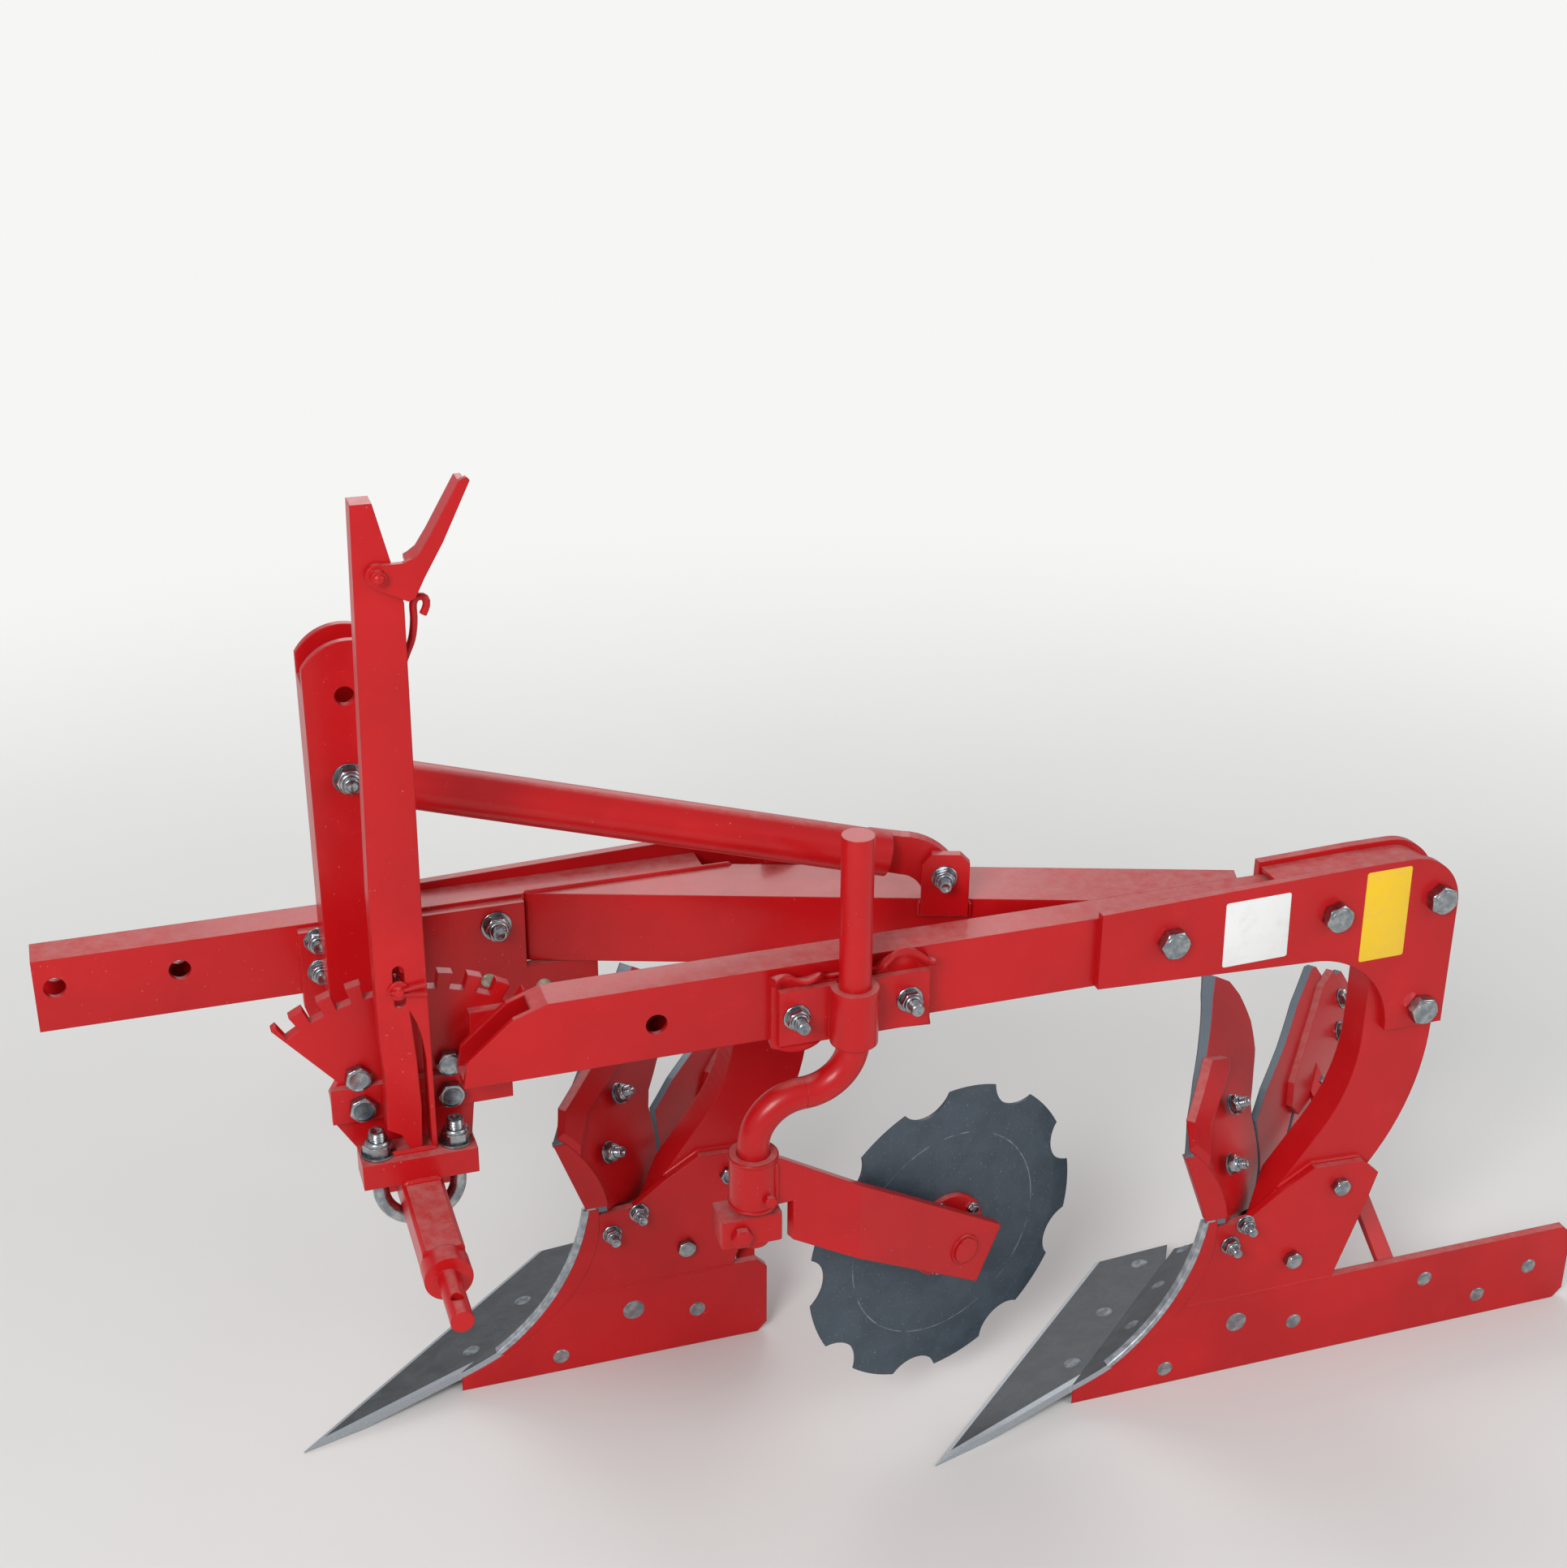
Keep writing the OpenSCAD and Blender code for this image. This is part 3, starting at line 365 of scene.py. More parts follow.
RED = sprayed_enamel("sprayed_red_enamel", 0.62, 2.2)
RED_BEAD = sprayed_enamel("enamel_over_weld", 0.3)
ZINC = zinc_plate("bright_zinc_plate")
ZINC_WORN = zinc_plate("worn_bolt_faces", "#5E6469", "#8A9196", 0.5, 0.3)
ZINC_YELLOW = zinc_plate("yellowed_zinc_plate", "#8D8672", "#BFB9A6", 0.7, 0.15)
GROUND_EDGE = zinc_plate("ground_shin_steel", "#8E969C", "#B8BEC3", 0.5, 0.2)
WHITE_FILM = label_film("white_vinyl", "#E9EAE8")
YELLOW_FILM = label_film("yellow_vinyl", "#F0C31C")

# Mesh making


def grid_faces(rows, columns, wrap):
    """Quads of a grid of rows by columns points; wrap joins the last column to the first."""
    i, j = np.meshgrid(np.arange(rows - 1), np.arange(columns if wrap else columns - 1),
                       indexing="ij")
    k = (j + 1) % columns
    quads = np.stack([i * columns + j, i * columns + k, (i + 1) * columns + k,
                      (i + 1) * columns + j], axis=-1)
    return quads.reshape(-1, 4).tolist()


def closed_form(rings):
    """A form from an array of rings (rows, columns, 3), with flat ends at the first and last.
    Where the volume that the faces enclose comes out negative, they are turned round, so
    they always look outward."""
    rows, columns, _ = rings.shape
    points = rings.reshape(-1, 3)
    faces = grid_faces(rows, columns, True)
    sides = np.array(faces)
    ends = [np.arange(columns)[::-1], np.arange((rows - 1) * columns, rows * columns)]
    fans = [np.column_stack([np.full(columns - 2, end[0]), end[1:-1], end[2:]]) for end in ends]
    triangles = np.vstack([sides[:, :3], sides[:, [0, 2, 3]], *fans])
    a, b, c = [points[triangles[:, k]] - points[0] for k in range(3)]
    faces += [end.tolist() for end in ends]
    if (a * np.cross(b, c)).sum() < 0:
        faces = [face[::-1] for face in faces]
    return points, faces


def join(forms):
    """Several forms as one."""
    vertices, faces, base = [], [], 0
    for points, quads in forms:
        vertices.append(points)
        faces.extend([[v + base for v in face] for face in quads])
        base += len(points)
    return np.vstack(vertices), faces


def turn_to(axis, spin=0.0):
    """Rotation that takes +Z to axis, after a spin in degrees about +Z."""
    goal = Vector([float(a) for a in axis]).normalized()
    swing = Vector((0, 0, 1)).rotation_difference(goal).to_matrix()
    return np.array(swing @ Matrix.Rotation(math.radians(spin), 3, "Z"))


def place(form, point, axis=(0, 0, 1), spin=0.0):
    """Form moved from +Z at zero to an axis at a point, in layout millimetres."""
    points, faces = form
    return points @ turn_to(axis, spin).T + np.asarray(point, float), faces


def piece(name, form, body, material, sharp_deg=35.0):
    """Puts a form, in layout millimetres, into a mesh object that rides on a body."""
    points, faces = form
    mesh = bpy.data.meshes.new(name)
    mesh.from_pydata(metres(points).tolist(), [], faces)
    mesh.materials.append(material)
    mesh.polygons.foreach_set("use_smooth", np.ones(len(mesh.polygons), bool))
    mesh.set_sharp_from_angle(angle=math.radians(sharp_deg))
    mesh.update()
    made = bpy.data.objects.new(name, mesh)
    bpy.context.scene.collection.objects.link(made)
    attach(made, body)
    return made


# Fastener forms, standing on their seat with +Z outwards. Widths and heights of heads and
# nuts are shares of the bolt's diameter d.

TURN = 36
SMALL_TURN = 32
HOOP = 48
BEAD_STEP = 1.5
ACROSS_FLATS = 1.5
HEAD_HIGH = 0.63
NUT_HIGH = 0.62
WASHER_WIDE = 2.0


def lathe(profile, columns=TURN, radius=None):
    """Surface of revolution: each row of (r, z) is a ring; radius(r, z, angle) may change it."""
    r, z = np.asarray(profile, float).T
    angle = np.arange(columns) * 2 * math.pi / columns
    reach = np.repeat(r[:, None], columns, axis=1)
    if radius is not None:
        reach = radius(reach, z[:, None], angle[None, :])
    rings = np.stack([reach * np.cos(angle), reach * np.sin(angle),
                      np.repeat(z[:, None], columns, axis=1)], axis=-1)
    return closed_form(rings)


def hexagon(across, height, foot=0.0):
    """Hexagonal prism with its corners turned off: at each angle the reach is the smaller of
    the hexagon's own and of a 30 degree cone from the top, and the same at the foot."""
    def reach(r, z, angle):
        own = across / 2 / np.cos(np.mod(angle, math.pi / 3) - math.pi / 6)
        cone = across / 2 * 0.97 + (foot + height - z) * 1.73
        low = across / 2 * 0.98 + (z - foot) * 1.73
        return np.minimum(np.minimum(own, cone), low) * r
    levels = foot + height * np.array([0.0, 0.04, 0.1, 0.2, 0.8, 0.9, 0.96, 1.0])
    return lathe([(1.0, z) for z in levels], radius=reach)


def thread(d, z0, z1, pitch=2.0):
    """Screw thread as one surface: the reach follows a triangle wave of height minus the
    share of a turn, so the crests run in a helix. It tapers in at its end."""
    rows = max(int((z1 - z0) / pitch * 6), 6)
    z = np.linspace(z0, z1, rows)

    def reach(r, height, angle):
        wave = np.mod(height / pitch - angle / (2 * math.pi), 1.0)
        groove = np.abs(2 * wave - 1)
        taper = np.clip((z1 - height) / 1.2, 0.0, 1.0)
        return (r - 0.055 * d * groove * (r > 0.4 * d)) * (0.93 + 0.07 * taper)
    end = [(0.36 * d, z1 + 0.1), (0.3 * d, z1 - 0.2), (0.06 * d, z1 - 0.12 * d)]
    return lathe([(d / 2, v) for v in z] + end, columns=24, radius=reach)


def washer(d, t=2.2):
    """Flat washer with rounded rim."""
    rim = 0.4
    return lathe([(d / 2 - rim, 0), (d / 2, rim), (d / 2, t - rim), (d / 2 - rim, t)], SMALL_TURN)


def bolt_head(d, flat):
    """Hexagon head with a slight dish on top, over a washer where flat is more than zero."""
    top = flat + HEAD_HIGH * d
    dish = lathe([(0.62 * d, top - 0.01), (0.6 * d, top + 0.35), (0.5 * d, top + 0.05),
                  (0.02 * d, top)], SMALL_TURN)
    forms = [hexagon(ACROSS_FLATS * d, HEAD_HIGH * d, flat), dish]
    if flat > 0:
        forms.append(washer(WASHER_WIDE * d, flat))
    return join(forms)


def lock_nut(d, out=0.45):
    """Washer, hexagon nut with its rolled collar, and the bolt's threaded end."""
    high, flat, bulge, collar_r = NUT_HIGH * d, 0.14 * d, 0.16 * d, 0.7 * d
    top = flat + high
    a = np.radians(np.linspace(0, 115, 8))
    collar = [(collar_r, top - 0.3)]
    collar += list(zip(collar_r + bulge * (np.cos(a) - 1), top + bulge * 1.35 * np.sin(a)))
    collar += [(0.51 * d, top + 0.5)]
    end = thread(d, top - 1.0, top + bulge + out * d)
    return join([washer(WASHER_WIDE * d, flat), hexagon(ACROSS_FLATS * d, high, flat),
                 lathe(collar), end])


def ring_form(profile, point):
    """Closed hoop: a profile of (r, z) carried round the upright through a point."""
    r, z = np.asarray(profile, float).T
    angle = np.arange(HOOP) * 2 * math.pi / HOOP
    rings = np.stack([np.outer(np.cos(angle), r), np.outer(np.sin(angle), r),
                      np.broadcast_to(z, (HOOP, len(z)))], axis=-1)
    i, j = np.meshgrid(np.arange(HOOP), np.arange(len(z)), indexing="ij")
    row, next_row, k = i * len(z), (i + 1) % HOOP * len(z), (j + 1) % len(z)
    faces = np.stack([row + j, next_row + j, next_row + k, row + k], axis=-1)
    return rings.reshape(-1, 3) + np.asarray(point, float), faces.reshape(-1, 4).tolist()


def flush_head(d, proud=0.5):
    """Countersunk plough bolt: a flat disc a hair proud, with a fine gap drawn round it."""
    r = d / 2
    return lathe([(r, -0.4), (r, proud * 0.4), (r - 0.7, proud * 0.6), (r - 1.1, proud * 0.25),
                  (r - 1.6, proud), (r * 0.3, proud * 1.15), (0.3, proud * 1.1)], SMALL_TURN)


def rivet(d, high):
    """Domed rivet head: a quarter circle squashed to its height."""
    a = np.radians(np.linspace(0, 88, 8))
    dome = list(zip(d / 2 * np.cos(a), high * np.sin(a)))
    return lathe([(d / 2, -0.3)] + dome, SMALL_TURN)


def frames_along(path):
    """Tangent, side and up vectors of a path; up is carried from point to point."""
    tangent = np.gradient(path, axis=0)
    tangent /= np.linalg.norm(tangent, axis=1)[:, None]
    start = UPWARD if abs(tangent[0, 2]) < 0.9 else np.array([1.0, 0.0, 0.0])
    ups = np.empty_like(path)
    up = start - tangent[0] * (start @ tangent[0])
    for i, t in enumerate(tangent):
        up = up - t * (up @ t)
        up /= np.linalg.norm(up)
        ups[i] = up
    return tangent, np.cross(tangent, ups), ups


def round_about(path, reach, columns):
    """Closed form of circles about the points of a path. Reach is the radius, one number or
    an array of a value for each point and column."""
    _, side, up = frames_along(path)
    a = np.arange(columns) * 2 * math.pi / columns
    circle = (np.cos(a)[None, :, None] * up[:, None, :]
              + np.sin(a)[None, :, None] * side[:, None, :])
    return closed_form(path[:, None, :] + np.asarray(reach)[..., None] * circle)


def rod(path, d, columns=16):
    """Round bar: a circle of diameter d carried along a path."""
    return round_about(np.asarray(path, float), d / 2, columns)


def even_path(points, count=None):
    """The straight stretches between points, cut into even steps along the run, about
    BEAD_STEP long where no count is given. Returns the run of each new point with the
    points."""
    points = np.asarray(points, float)
    steps = np.concatenate([[0], np.cumsum(np.linalg.norm(np.diff(points, axis=0), axis=1))])
    count = count or max(int(steps[-1] / BEAD_STEP), 8)
    run = np.linspace(0, steps[-1], count)
    return run, np.stack([np.interp(run, steps, points[:, k]) for k in range(3)], axis=1)


def weld_bead(points, width, ripple=4.5, columns=14):
    """Weld bead: a circle carried along the joint whose reach swells and sinks in a cosine of
    the distance run, pulled back at the middle so that the ripples are crescents."""
    run, path = even_path(points)
    a = np.arange(columns) * 2 * math.pi / columns
    phase = run[:, None] - 0.9 * ripple * np.sin(2 * a)[None, :]
    reach = width / 2 * (0.9 + 0.1 * np.cos(2 * math.pi * phase / ripple))
    taper = np.clip(np.minimum(run, run[-1] - run) / (0.5 * width), 0.05, 1.0) ** 0.5
    return round_about(path, reach * taper[:, None], columns)


def arc(centre, radius, start, stop, u, v, count=24):
    """Points of an arc in the plane of u and v."""
    a = np.radians(np.linspace(start, stop, count))[:, None]
    return np.asarray(centre, float) + radius * (np.cos(a) * np.asarray(u, float)
                                                 + np.sin(a) * np.asarray(v, float))


def rounded_plate(width, height, corner, t):
    """Thin plate with round corners: the outline is a rectangle shrunk by the corner radius
    with a quarter circle at each corner, carried through the thickness."""
    a = np.radians(np.arange(0, 360, 15.0) + 0.01)
    centre = np.stack([np.sign(np.cos(a)) * (width / 2 - corner),
                       np.sign(np.sin(a)) * (height / 2 - corner)], axis=1)
    around = np.stack([np.cos(a), np.sin(a)], axis=1)
    levels = [(corner, 0.0), (corner, t * 0.6), (corner - 0.3, t)]
    return closed_form(np.array([np.column_stack([centre + reach * around, np.full(len(a), z)])
                                 for reach, z in levels]))


# Fasteners on faces that look to the left or right: (x, z) in a body's own layout

LEFT = (0, 1, 0)
RIGHT = (0, -1, 0)
UP = (0, 0, 1)


def on_side(form, spots, y, axis, shift=FRONT):
    """The same form at each (x, z) spot on a face of constant y."""
    return [place(form, np.array([x, y, z]) + shift, axis, 17 * k)
            for k, (x, z) in enumerate(spots)]


def on_board(form, spots, off, side, shift):
    """The same form at each (run, height) spot on the surface off behind the board's face.
    The surface is a cylinder round the arc's middle line; side 1 looks backwards, -1 ahead."""
    placed = []
    for run, height in spots:
        reach = BOARD_R + off
        rise = (height - BOARD_Z) / reach
        fall = math.sqrt(1 - rise * rise)
        flat = TIP + run * EDGE + (BOARD_S + reach * fall) * BACKWARD[:2]
        axis = side * (fall * BACKWARD + rise * UPWARD)
        placed.append(place(form, np.append(flat, height) + shift, axis))
    return placed


def on_share(form, spots, shift):
    """The same form at each (run, back) spot on the share's slanted top."""
    axis = math.cos(SHARE_SLOPE) * UPWARD - math.sin(SHARE_SLOPE) * BACKWARD
    placed = []
    for run, back in spots:
        flat = TIP + run * EDGE + back * BACKWARD[:2]
        height = SHARE_LIP + back * math.tan(SHARE_SLOPE)
        placed.append(place(form, np.append(flat, height) + shift, axis))
    return placed


LEG_BOLTS = [(-94, 590), (-289, 590), (-417, 592), (-412, 455)]
FROG_BOLTS = [(-338, 233), (-286, 143)]
LANDSIDE_BOLTS = [(-134, 21), (-299, 50)]
LANDSIDE_LONG_BOLTS = [(-473, 71), (-552, 30), (-620, 56)]
SLAT_NUTS = [(377, 322), (324, 280)]
JOINT_NUTS = [(722, 296), (690, 268)]
STAY_BOLT = [(598, 244)]
SHARE_BOLTS = [(437, 55), (325, 57), (216, 65)]
BOARD_BOLTS = [(471, 35), (385, 37), (294, 40)]
WIDE_LANDSIDE_BOLT = [(-222, 67)]
NEAR_SIDE = 0.0
FAR_SIDE = -60.0
FROG_FAR_SIDE = -50.0
BOARD_BACK = 3 * BOARD_T
LEG_D = 20
FROG_D = 13
SHIN_D = 11.5
SLAT_D = 12.5

BODIES = [("front", FRONT, LEG_BOLTS[2:], LEG_BOLTS, [(-231, 202), (-199, 179)], []),
          ("rear", REAR, LEG_BOLTS, LEG_BOLTS[1:], [(-220, 205), (-203, 180)],
           LANDSIDE_LONG_BOLTS)]

for label, shift, near_bolts, far_bolts, shin_nuts, more in BODIES:
    heads = on_side(bolt_head(LEG_D, 0), near_bolts, NEAR_SIDE, LEFT, shift)
    heads += on_side(bolt_head(FROG_D, 0), FROG_BOLTS, NEAR_SIDE, LEFT, shift)
    piece(label + "_leg_bolt_heads", join(heads), "frame", ZINC)
    nuts = on_side(lock_nut(LEG_D), far_bolts, FAR_SIDE, RIGHT, shift)
    nuts += on_side(lock_nut(FROG_D), FROG_BOLTS[:1], FROG_FAR_SIDE, RIGHT, shift)
    nuts += on_side(lock_nut(SHIN_D, 0.8), shin_nuts, NEAR_SIDE, LEFT, shift)
    piece(label + "_leg_bolt_nuts", join(nuts), "frame", ZINC)
    flush = on_side(flush_head(19), LANDSIDE_BOLTS + more, NEAR_SIDE, LEFT, shift)
    flush += on_side(flush_head(25.5), WIDE_LANDSIDE_BOLT, NEAR_SIDE, LEFT, shift)
    piece(label + "_landside_bolts", join(flush), "frame", ZINC)
    soil = on_share(flush_head(20), SHARE_BOLTS, shift)
    soil += on_board(flush_head(18), BOARD_BOLTS, 0, -1, shift)
    soil += on_board(flush_head(16), SLAT_NUTS + JOINT_NUTS + STAY_BOLT, BOARD_T, -1, shift)
    piece(label + "_board_bolt_heads", join(soil), "frame", ZINC_WORN)
    behind = on_board(lock_nut(SLAT_D, 0.7), SLAT_NUTS + JOINT_NUTS, BOARD_BACK, 1, shift)
    behind += on_board(lock_nut(FROG_D, 0.8), STAY_BOLT, BOARD_BACK, 1, shift)
    piece(label + "_board_nuts", join(behind), "frame", ZINC)

# Shin and slat foot in the plane of the landside: ground edge and red filling plates

SHIN_CENTRE = (81.0, 252.0)
SHIN_RADIUS = 250.0
SHIN_ARC = (188.0, 236.0)
SHIN_EDGE = 6.0
SLAT_FOOT = [(-135, 311), (-169, 219)]
PLATE_BEVEL = 0.9
PLATE_INSIDE = -8.0
PLATE_PROUD = 0.6


def shin_arc(radius):
    """Arc of (x, z) about the shin's centre, from the slat's foot down to the share."""
    return arc(SHIN_CENTRE, radius, *SHIN_ARC, (1, 0), (0, 1))


def board_cut(height, off):
    """X where the surface off behind the board's face meets the plane of the landside: the
    arc of the board's section at that height, slid along the share until Y is zero."""
    s = BOARD_S + np.sqrt((BOARD_R + off) ** 2 - (height - BOARD_Z) ** 2)
    run = -(TIP[1] + s * BACKWARD[1]) / EDGE[1]
    return TIP[0] + run * EDGE[0] + s * BACKWARD[0]


def flat_strip(lines, y):
    """Closed form between lines of (x, z) that run side by side, each held at its own y."""
    section = np.stack(lines, axis=1)
    y = np.broadcast_to(y, section.shape[:2])
    return closed_form(np.stack([section[:, :, 0], y, section[:, :, 1]], axis=-1))


def side_band(ahead, behind, proud):
    """Flat band between two lines of (x, z), with its leading corner on the left cut off."""
    across = np.linalg.norm(behind - ahead, axis=1)[:, None]
    corner = ahead + (behind - ahead) * np.minimum(0.12, PLATE_BEVEL / across)
    return flat_strip([ahead, ahead, corner, behind, behind],
                      [PLATE_INSIDE, proud - PLATE_BEVEL, proud, proud, PLATE_INSIDE])


shin = shin_arc(SHIN_RADIUS)
inner = shin_arc(SHIN_RADIUS + SHIN_EDGE)
joint = np.minimum(board_cut(inner[:, 1], BOARD_T) - 2.0, inner[:, 0] - 0.5)
foot = np.linspace(*SLAT_FOOT, 12)
heel = board_cut(foot[:, 1], 2 * BOARD_T) - 2.0
for label, shift in (("front", FRONT), ("rear", REAR)):
    edge, faces = side_band(shin, inner, PLATE_PROUD)
    piece(label + "_shin_edge", (edge + shift, faces), "frame", GROUND_EDGE)
    fill = side_band(inner, np.column_stack([joint, inner[:, 1]]), PLATE_PROUD - 0.2)
    web = side_band(foot, np.column_stack([heel, foot[:, 1]]), PLATE_PROUD)
    points, faces = join([fill, web])
    piece(label + "_shin_plates", (points + shift, faces), "frame", RED)

# Headstock, quadrant, mast and strut

MAST_NUTS = [(101, 611), (100, 575)]
SLANT_NUT = [(-84, 598)]
SUNK_BOLTS = [(-73, 534), (-132, 518)]
QUAD_BOLTS = [(1, 550), (90, 549)]
STRIP_BOLTS = [(2, 519), (89, 519)]
STRUT_BOLT = [(62, 812)]
MAST_LEFT, MAST_RIGHT = 57, 2
QUAD_D = STRUT_D = 16

head_nuts = on_side(lock_nut(14), MAST_NUTS, PLATE_FACE, LEFT)
head_nuts += on_side(lock_nut(16.5), SLANT_NUT, PLATE_FACE, LEFT)
piece("headstock_nuts", join(head_nuts), "frame", ZINC)
sunk = on_side(flush_head(16), SUNK_BOLTS, PLATE_FACE, LEFT)
piece("headstock_sunk_bolts", join(sunk), "frame", ZINC_YELLOW)
quad_heads = on_side(bolt_head(QUAD_D, 0), QUAD_BOLTS, QUAD_FACE, LEFT)
quad_heads += on_side(bolt_head(QUAD_D, 0), STRIP_BOLTS, STRIP_FACE, LEFT)
piece("quadrant_bolt_heads", join(quad_heads), "frame", ZINC)
mast_bolt = on_side(lock_nut(STRUT_D), STRUT_BOLT, MAST_LEFT, LEFT)
mast_bolt += on_side(bolt_head(STRUT_D, 2.5), STRUT_BOLT, MAST_RIGHT, RIGHT)
piece("strut_bolt_at_mast", join(mast_bolt), "frame", ZINC)

# the slanting beam's own directions
SLANT = math.radians(19.0)
SLANT_ALONG = np.array([math.cos(SLANT), -math.sin(SLANT), 0.0])
SLANT_OUT = np.array([math.sin(SLANT), math.cos(SLANT), 0.0])
EAR_BOLT = np.array([-535.0, 134.0, 655.0])
EAR_D = 13.5
ear = [place(lock_nut(EAR_D, 0.9), EAR_BOLT + 10 * SLANT_OUT, SLANT_OUT),
       place(bolt_head(EAR_D, 2.0), EAR_BOLT - 14 * SLANT_OUT, -SLANT_OUT)]
piece("strut_bolt_at_bracket", join(ear), "frame", ZINC)

CLAMP_BOLTS = [(-457, 577), (-337, 577)]
CLAMP_FRONT, CLAMP_BACK = 242, 184
clamp = on_side(lock_nut(14, 0.9), CLAMP_BOLTS, CLAMP_FRONT, LEFT)
clamp += on_side(bolt_head(12.5, 2.0), CLAMP_BOLTS, CLAMP_BACK, RIGHT)
piece("coulter_clamp_bolts", join(clamp), "frame", ZINC)

# Wavy backing sheet between the clamp and the beam, in place of the plain one

CLAMP_X, CLAMP_Z = -395.0, 545.0
BACKING_FROM, BACKING_TO = 82.0, -88.0


def wavy_backing():
    """A strip 10 mm thick behind the clamp. Its section changes with the distance x from the
    stem: the upper and lower edges are thrown outwards in waves that die away behind the
    stem. Ahead of the stem the lip grows evenly, behind it the lip is a single fold."""
    x = np.linspace(BACKING_FROM, BACKING_TO, 86)
    grow = np.clip((np.abs(x) - 20) / 14, 0.0, 1.0)
    grow = grow * grow * (3 - 2 * grow)
    way = (np.abs(x) - 28) / 56
    front = x > 0
    out = grow * np.where(front, 5 + 9 * way + 3 * np.sin(7.0 * way), 9 + 4 * np.cos(6.0 * way))
    rise = grow * np.where(front, 3 + 5 * way + 2.5 * np.cos(8.0 * way),
                           4 + 11 * np.maximum(np.sin(3.14 * way), 0.0))
    under = grow * np.where(front, 9 * np.maximum(np.sin(3.0 * (1 - way)), 0.0), 3 * way)
    lean = 1.4 * rise
    profile = [(0, -2), (0, 64 + rise), (4, 66 + rise), (6 + out, 69 + lean), (9 + out, 68 + lean),
               (9.6 + out, 66 + 1.3 * rise), (6 + out, 63 + rise), (10, 58 + rise), (10, 2),
               (10 + under, -2 - 0.4 * under), (9 + under, -4 - 0.5 * under), (4, -3)]
    rings = [np.broadcast_arrays(CLAMP_X + x, LEFT_FACE + y, CLAMP_Z + z) for y, z in profile]
    return closed_form(np.array(rings).transpose(2, 0, 1))


backing = piece("wavy_clamp_backing", wavy_backing(), "frame", RED, 50.0)
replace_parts(backing, "clamp_backing")

# Stop collar: a block with rounded corners, in place of the round one

COLLAR_BLOCK = (65, 40, 4, 32)
COLLAR_X, COLLAR_Z = -282.5, 334
collar = place(rounded_plate(*COLLAR_BLOCK), (COLLAR_X, STEM[1], COLLAR_Z), UP)
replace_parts(piece("collar_block", collar, "frame", RED), "coulter_collar")

# U-bolt that holds the lever's block on the cross shaft

U_MIDDLE = (SHAFT_X, BLOCK_Y, SHAFT_Z + 5)
U_REACH = 38.0
U_BAR = 16
bend = arc(U_MIDDLE, U_REACH, 0, -180, (1, 0, 0), UP, 33)
legs = [(SHAFT_X + U_REACH, BLOCK_Y, BLOCK_TOP), (SHAFT_X - U_REACH, BLOCK_Y, BLOCK_TOP)]
u_bolt = [rod(np.vstack([legs[:1], bend, legs[1:]]), U_BAR)]
for leg in legs:
    u_bolt.append(place(lock_nut(17, 0.6), leg, UP))
piece("shaft_u_bolt", join(u_bolt), "lever_body", ZINC)

# Latch: rivet, hooked rod down to the pin, washer and split pin

LATCH_ROD = [(4, 214, 1031), (0, 214, 1036), (-3, 214, 1042), (-1, 214, 1048), (3, 214, 1051),
             (8, 213, 1050), (13, 212, 1046), (14, 211, 1040), (10, 209, 1033), (12, 208, 1019),
             (13, 205, 1005), (18, 196, 990), (24, 193, 972), (31, 196, 955), (38, 203, 930),
             (48, 206, 890), (50, 206, 840), (50, 206, 760), (50, 206, 675)]


def smooth_path(points, count=90):
    """Path through points, rounded: each coordinate is smoothed along the run by a window
    that averages its neighbours."""
    _, path = even_path(points, count)
    for _ in range(6):
        path[1:-1] = 0.25 * path[:-2] + 0.5 * path[1:-1] + 0.25 * path[2:]
    return path


PIN_X, PIN_Z = 51.0, 664.0
ROD_Y, ROD_D = 206, 7
SPLIT_Y, SPLIT_D = 228, 3.4
eye = arc((PIN_X, ROD_Y, PIN_Z), 8.5, 100, 440, (1, 0, 0), UP, 30)
latch_bar = [rod(smooth_path(LATCH_ROD), ROD_D), rod(eye, ROD_D)]
piece("latch_rod", join(latch_bar), "lever_body", RED)
pin = [place(lathe([(4.6, 0), (4.6, 34), (3.8, 35)], 24), (PIN_X, 196, PIN_Z), LEFT),
       place(washer(20, 2.2), (PIN_X, LEVER_FACE, PIN_Z), LEFT)]
for end_z in (668, 657):
    leg = [(PIN_X + 8, SPLIT_Y, PIN_Z), (PIN_X - 7, SPLIT_Y, 0.5 * (PIN_Z + end_z)),
           (PIN_X - 26, SPLIT_Y, end_z)]
    pin.append(rod(smooth_path(leg, 20), SPLIT_D, 10))
pin.append(place(rivet(10.5, 3.5), (SHAFT_X, 235, SHAFT_Z + 636), LEFT))
piece("latch_pin_and_rivet", join(pin), "lever_body", RED)

# Coulter arm and disc


def arm_point(x, y, z):
    """A place on the arm, x out along it and y across, turned about the stem."""
    out = np.array([math.cos(ARM_TURN), math.sin(ARM_TURN), 0.0])
    across = np.array([-math.sin(ARM_TURN), math.cos(ARM_TURN), 0.0])
    return STEM + x * out + y * across + z * UPWARD


ARM_ACROSS = arm_point(0, 1, 0) - arm_point(0, 0, 0)
seam = weld_bead([arm_point(14.5, -20.5, 378), arm_point(14.5, -20.5, 425)], 6)
piece("arm_weld_seam", seam, "coulter_arm_body", RED_BEAD)
lip = [(25.2, 0), (25.8, 0.6), (26.2, 1.6), (26.2, 3.2), (25.8, 4.2), (25.2, 4.6)]
lips = [ring_form(lip, STEM + [0, 0, 427.4]), ring_form(lip, STEM + [0, 0, 372])]
piece("sleeve_lips", join(lips), "coulter_arm_body", RED)
nub = place(hexagon(12, 6), (-299, 274.6, 388), LEFT)
piece("sleeve_nub", nub, "coulter_arm_body", RED)
collar_bolt = place(bolt_head(13, 0), (-270, 270.5, 348), LEFT)
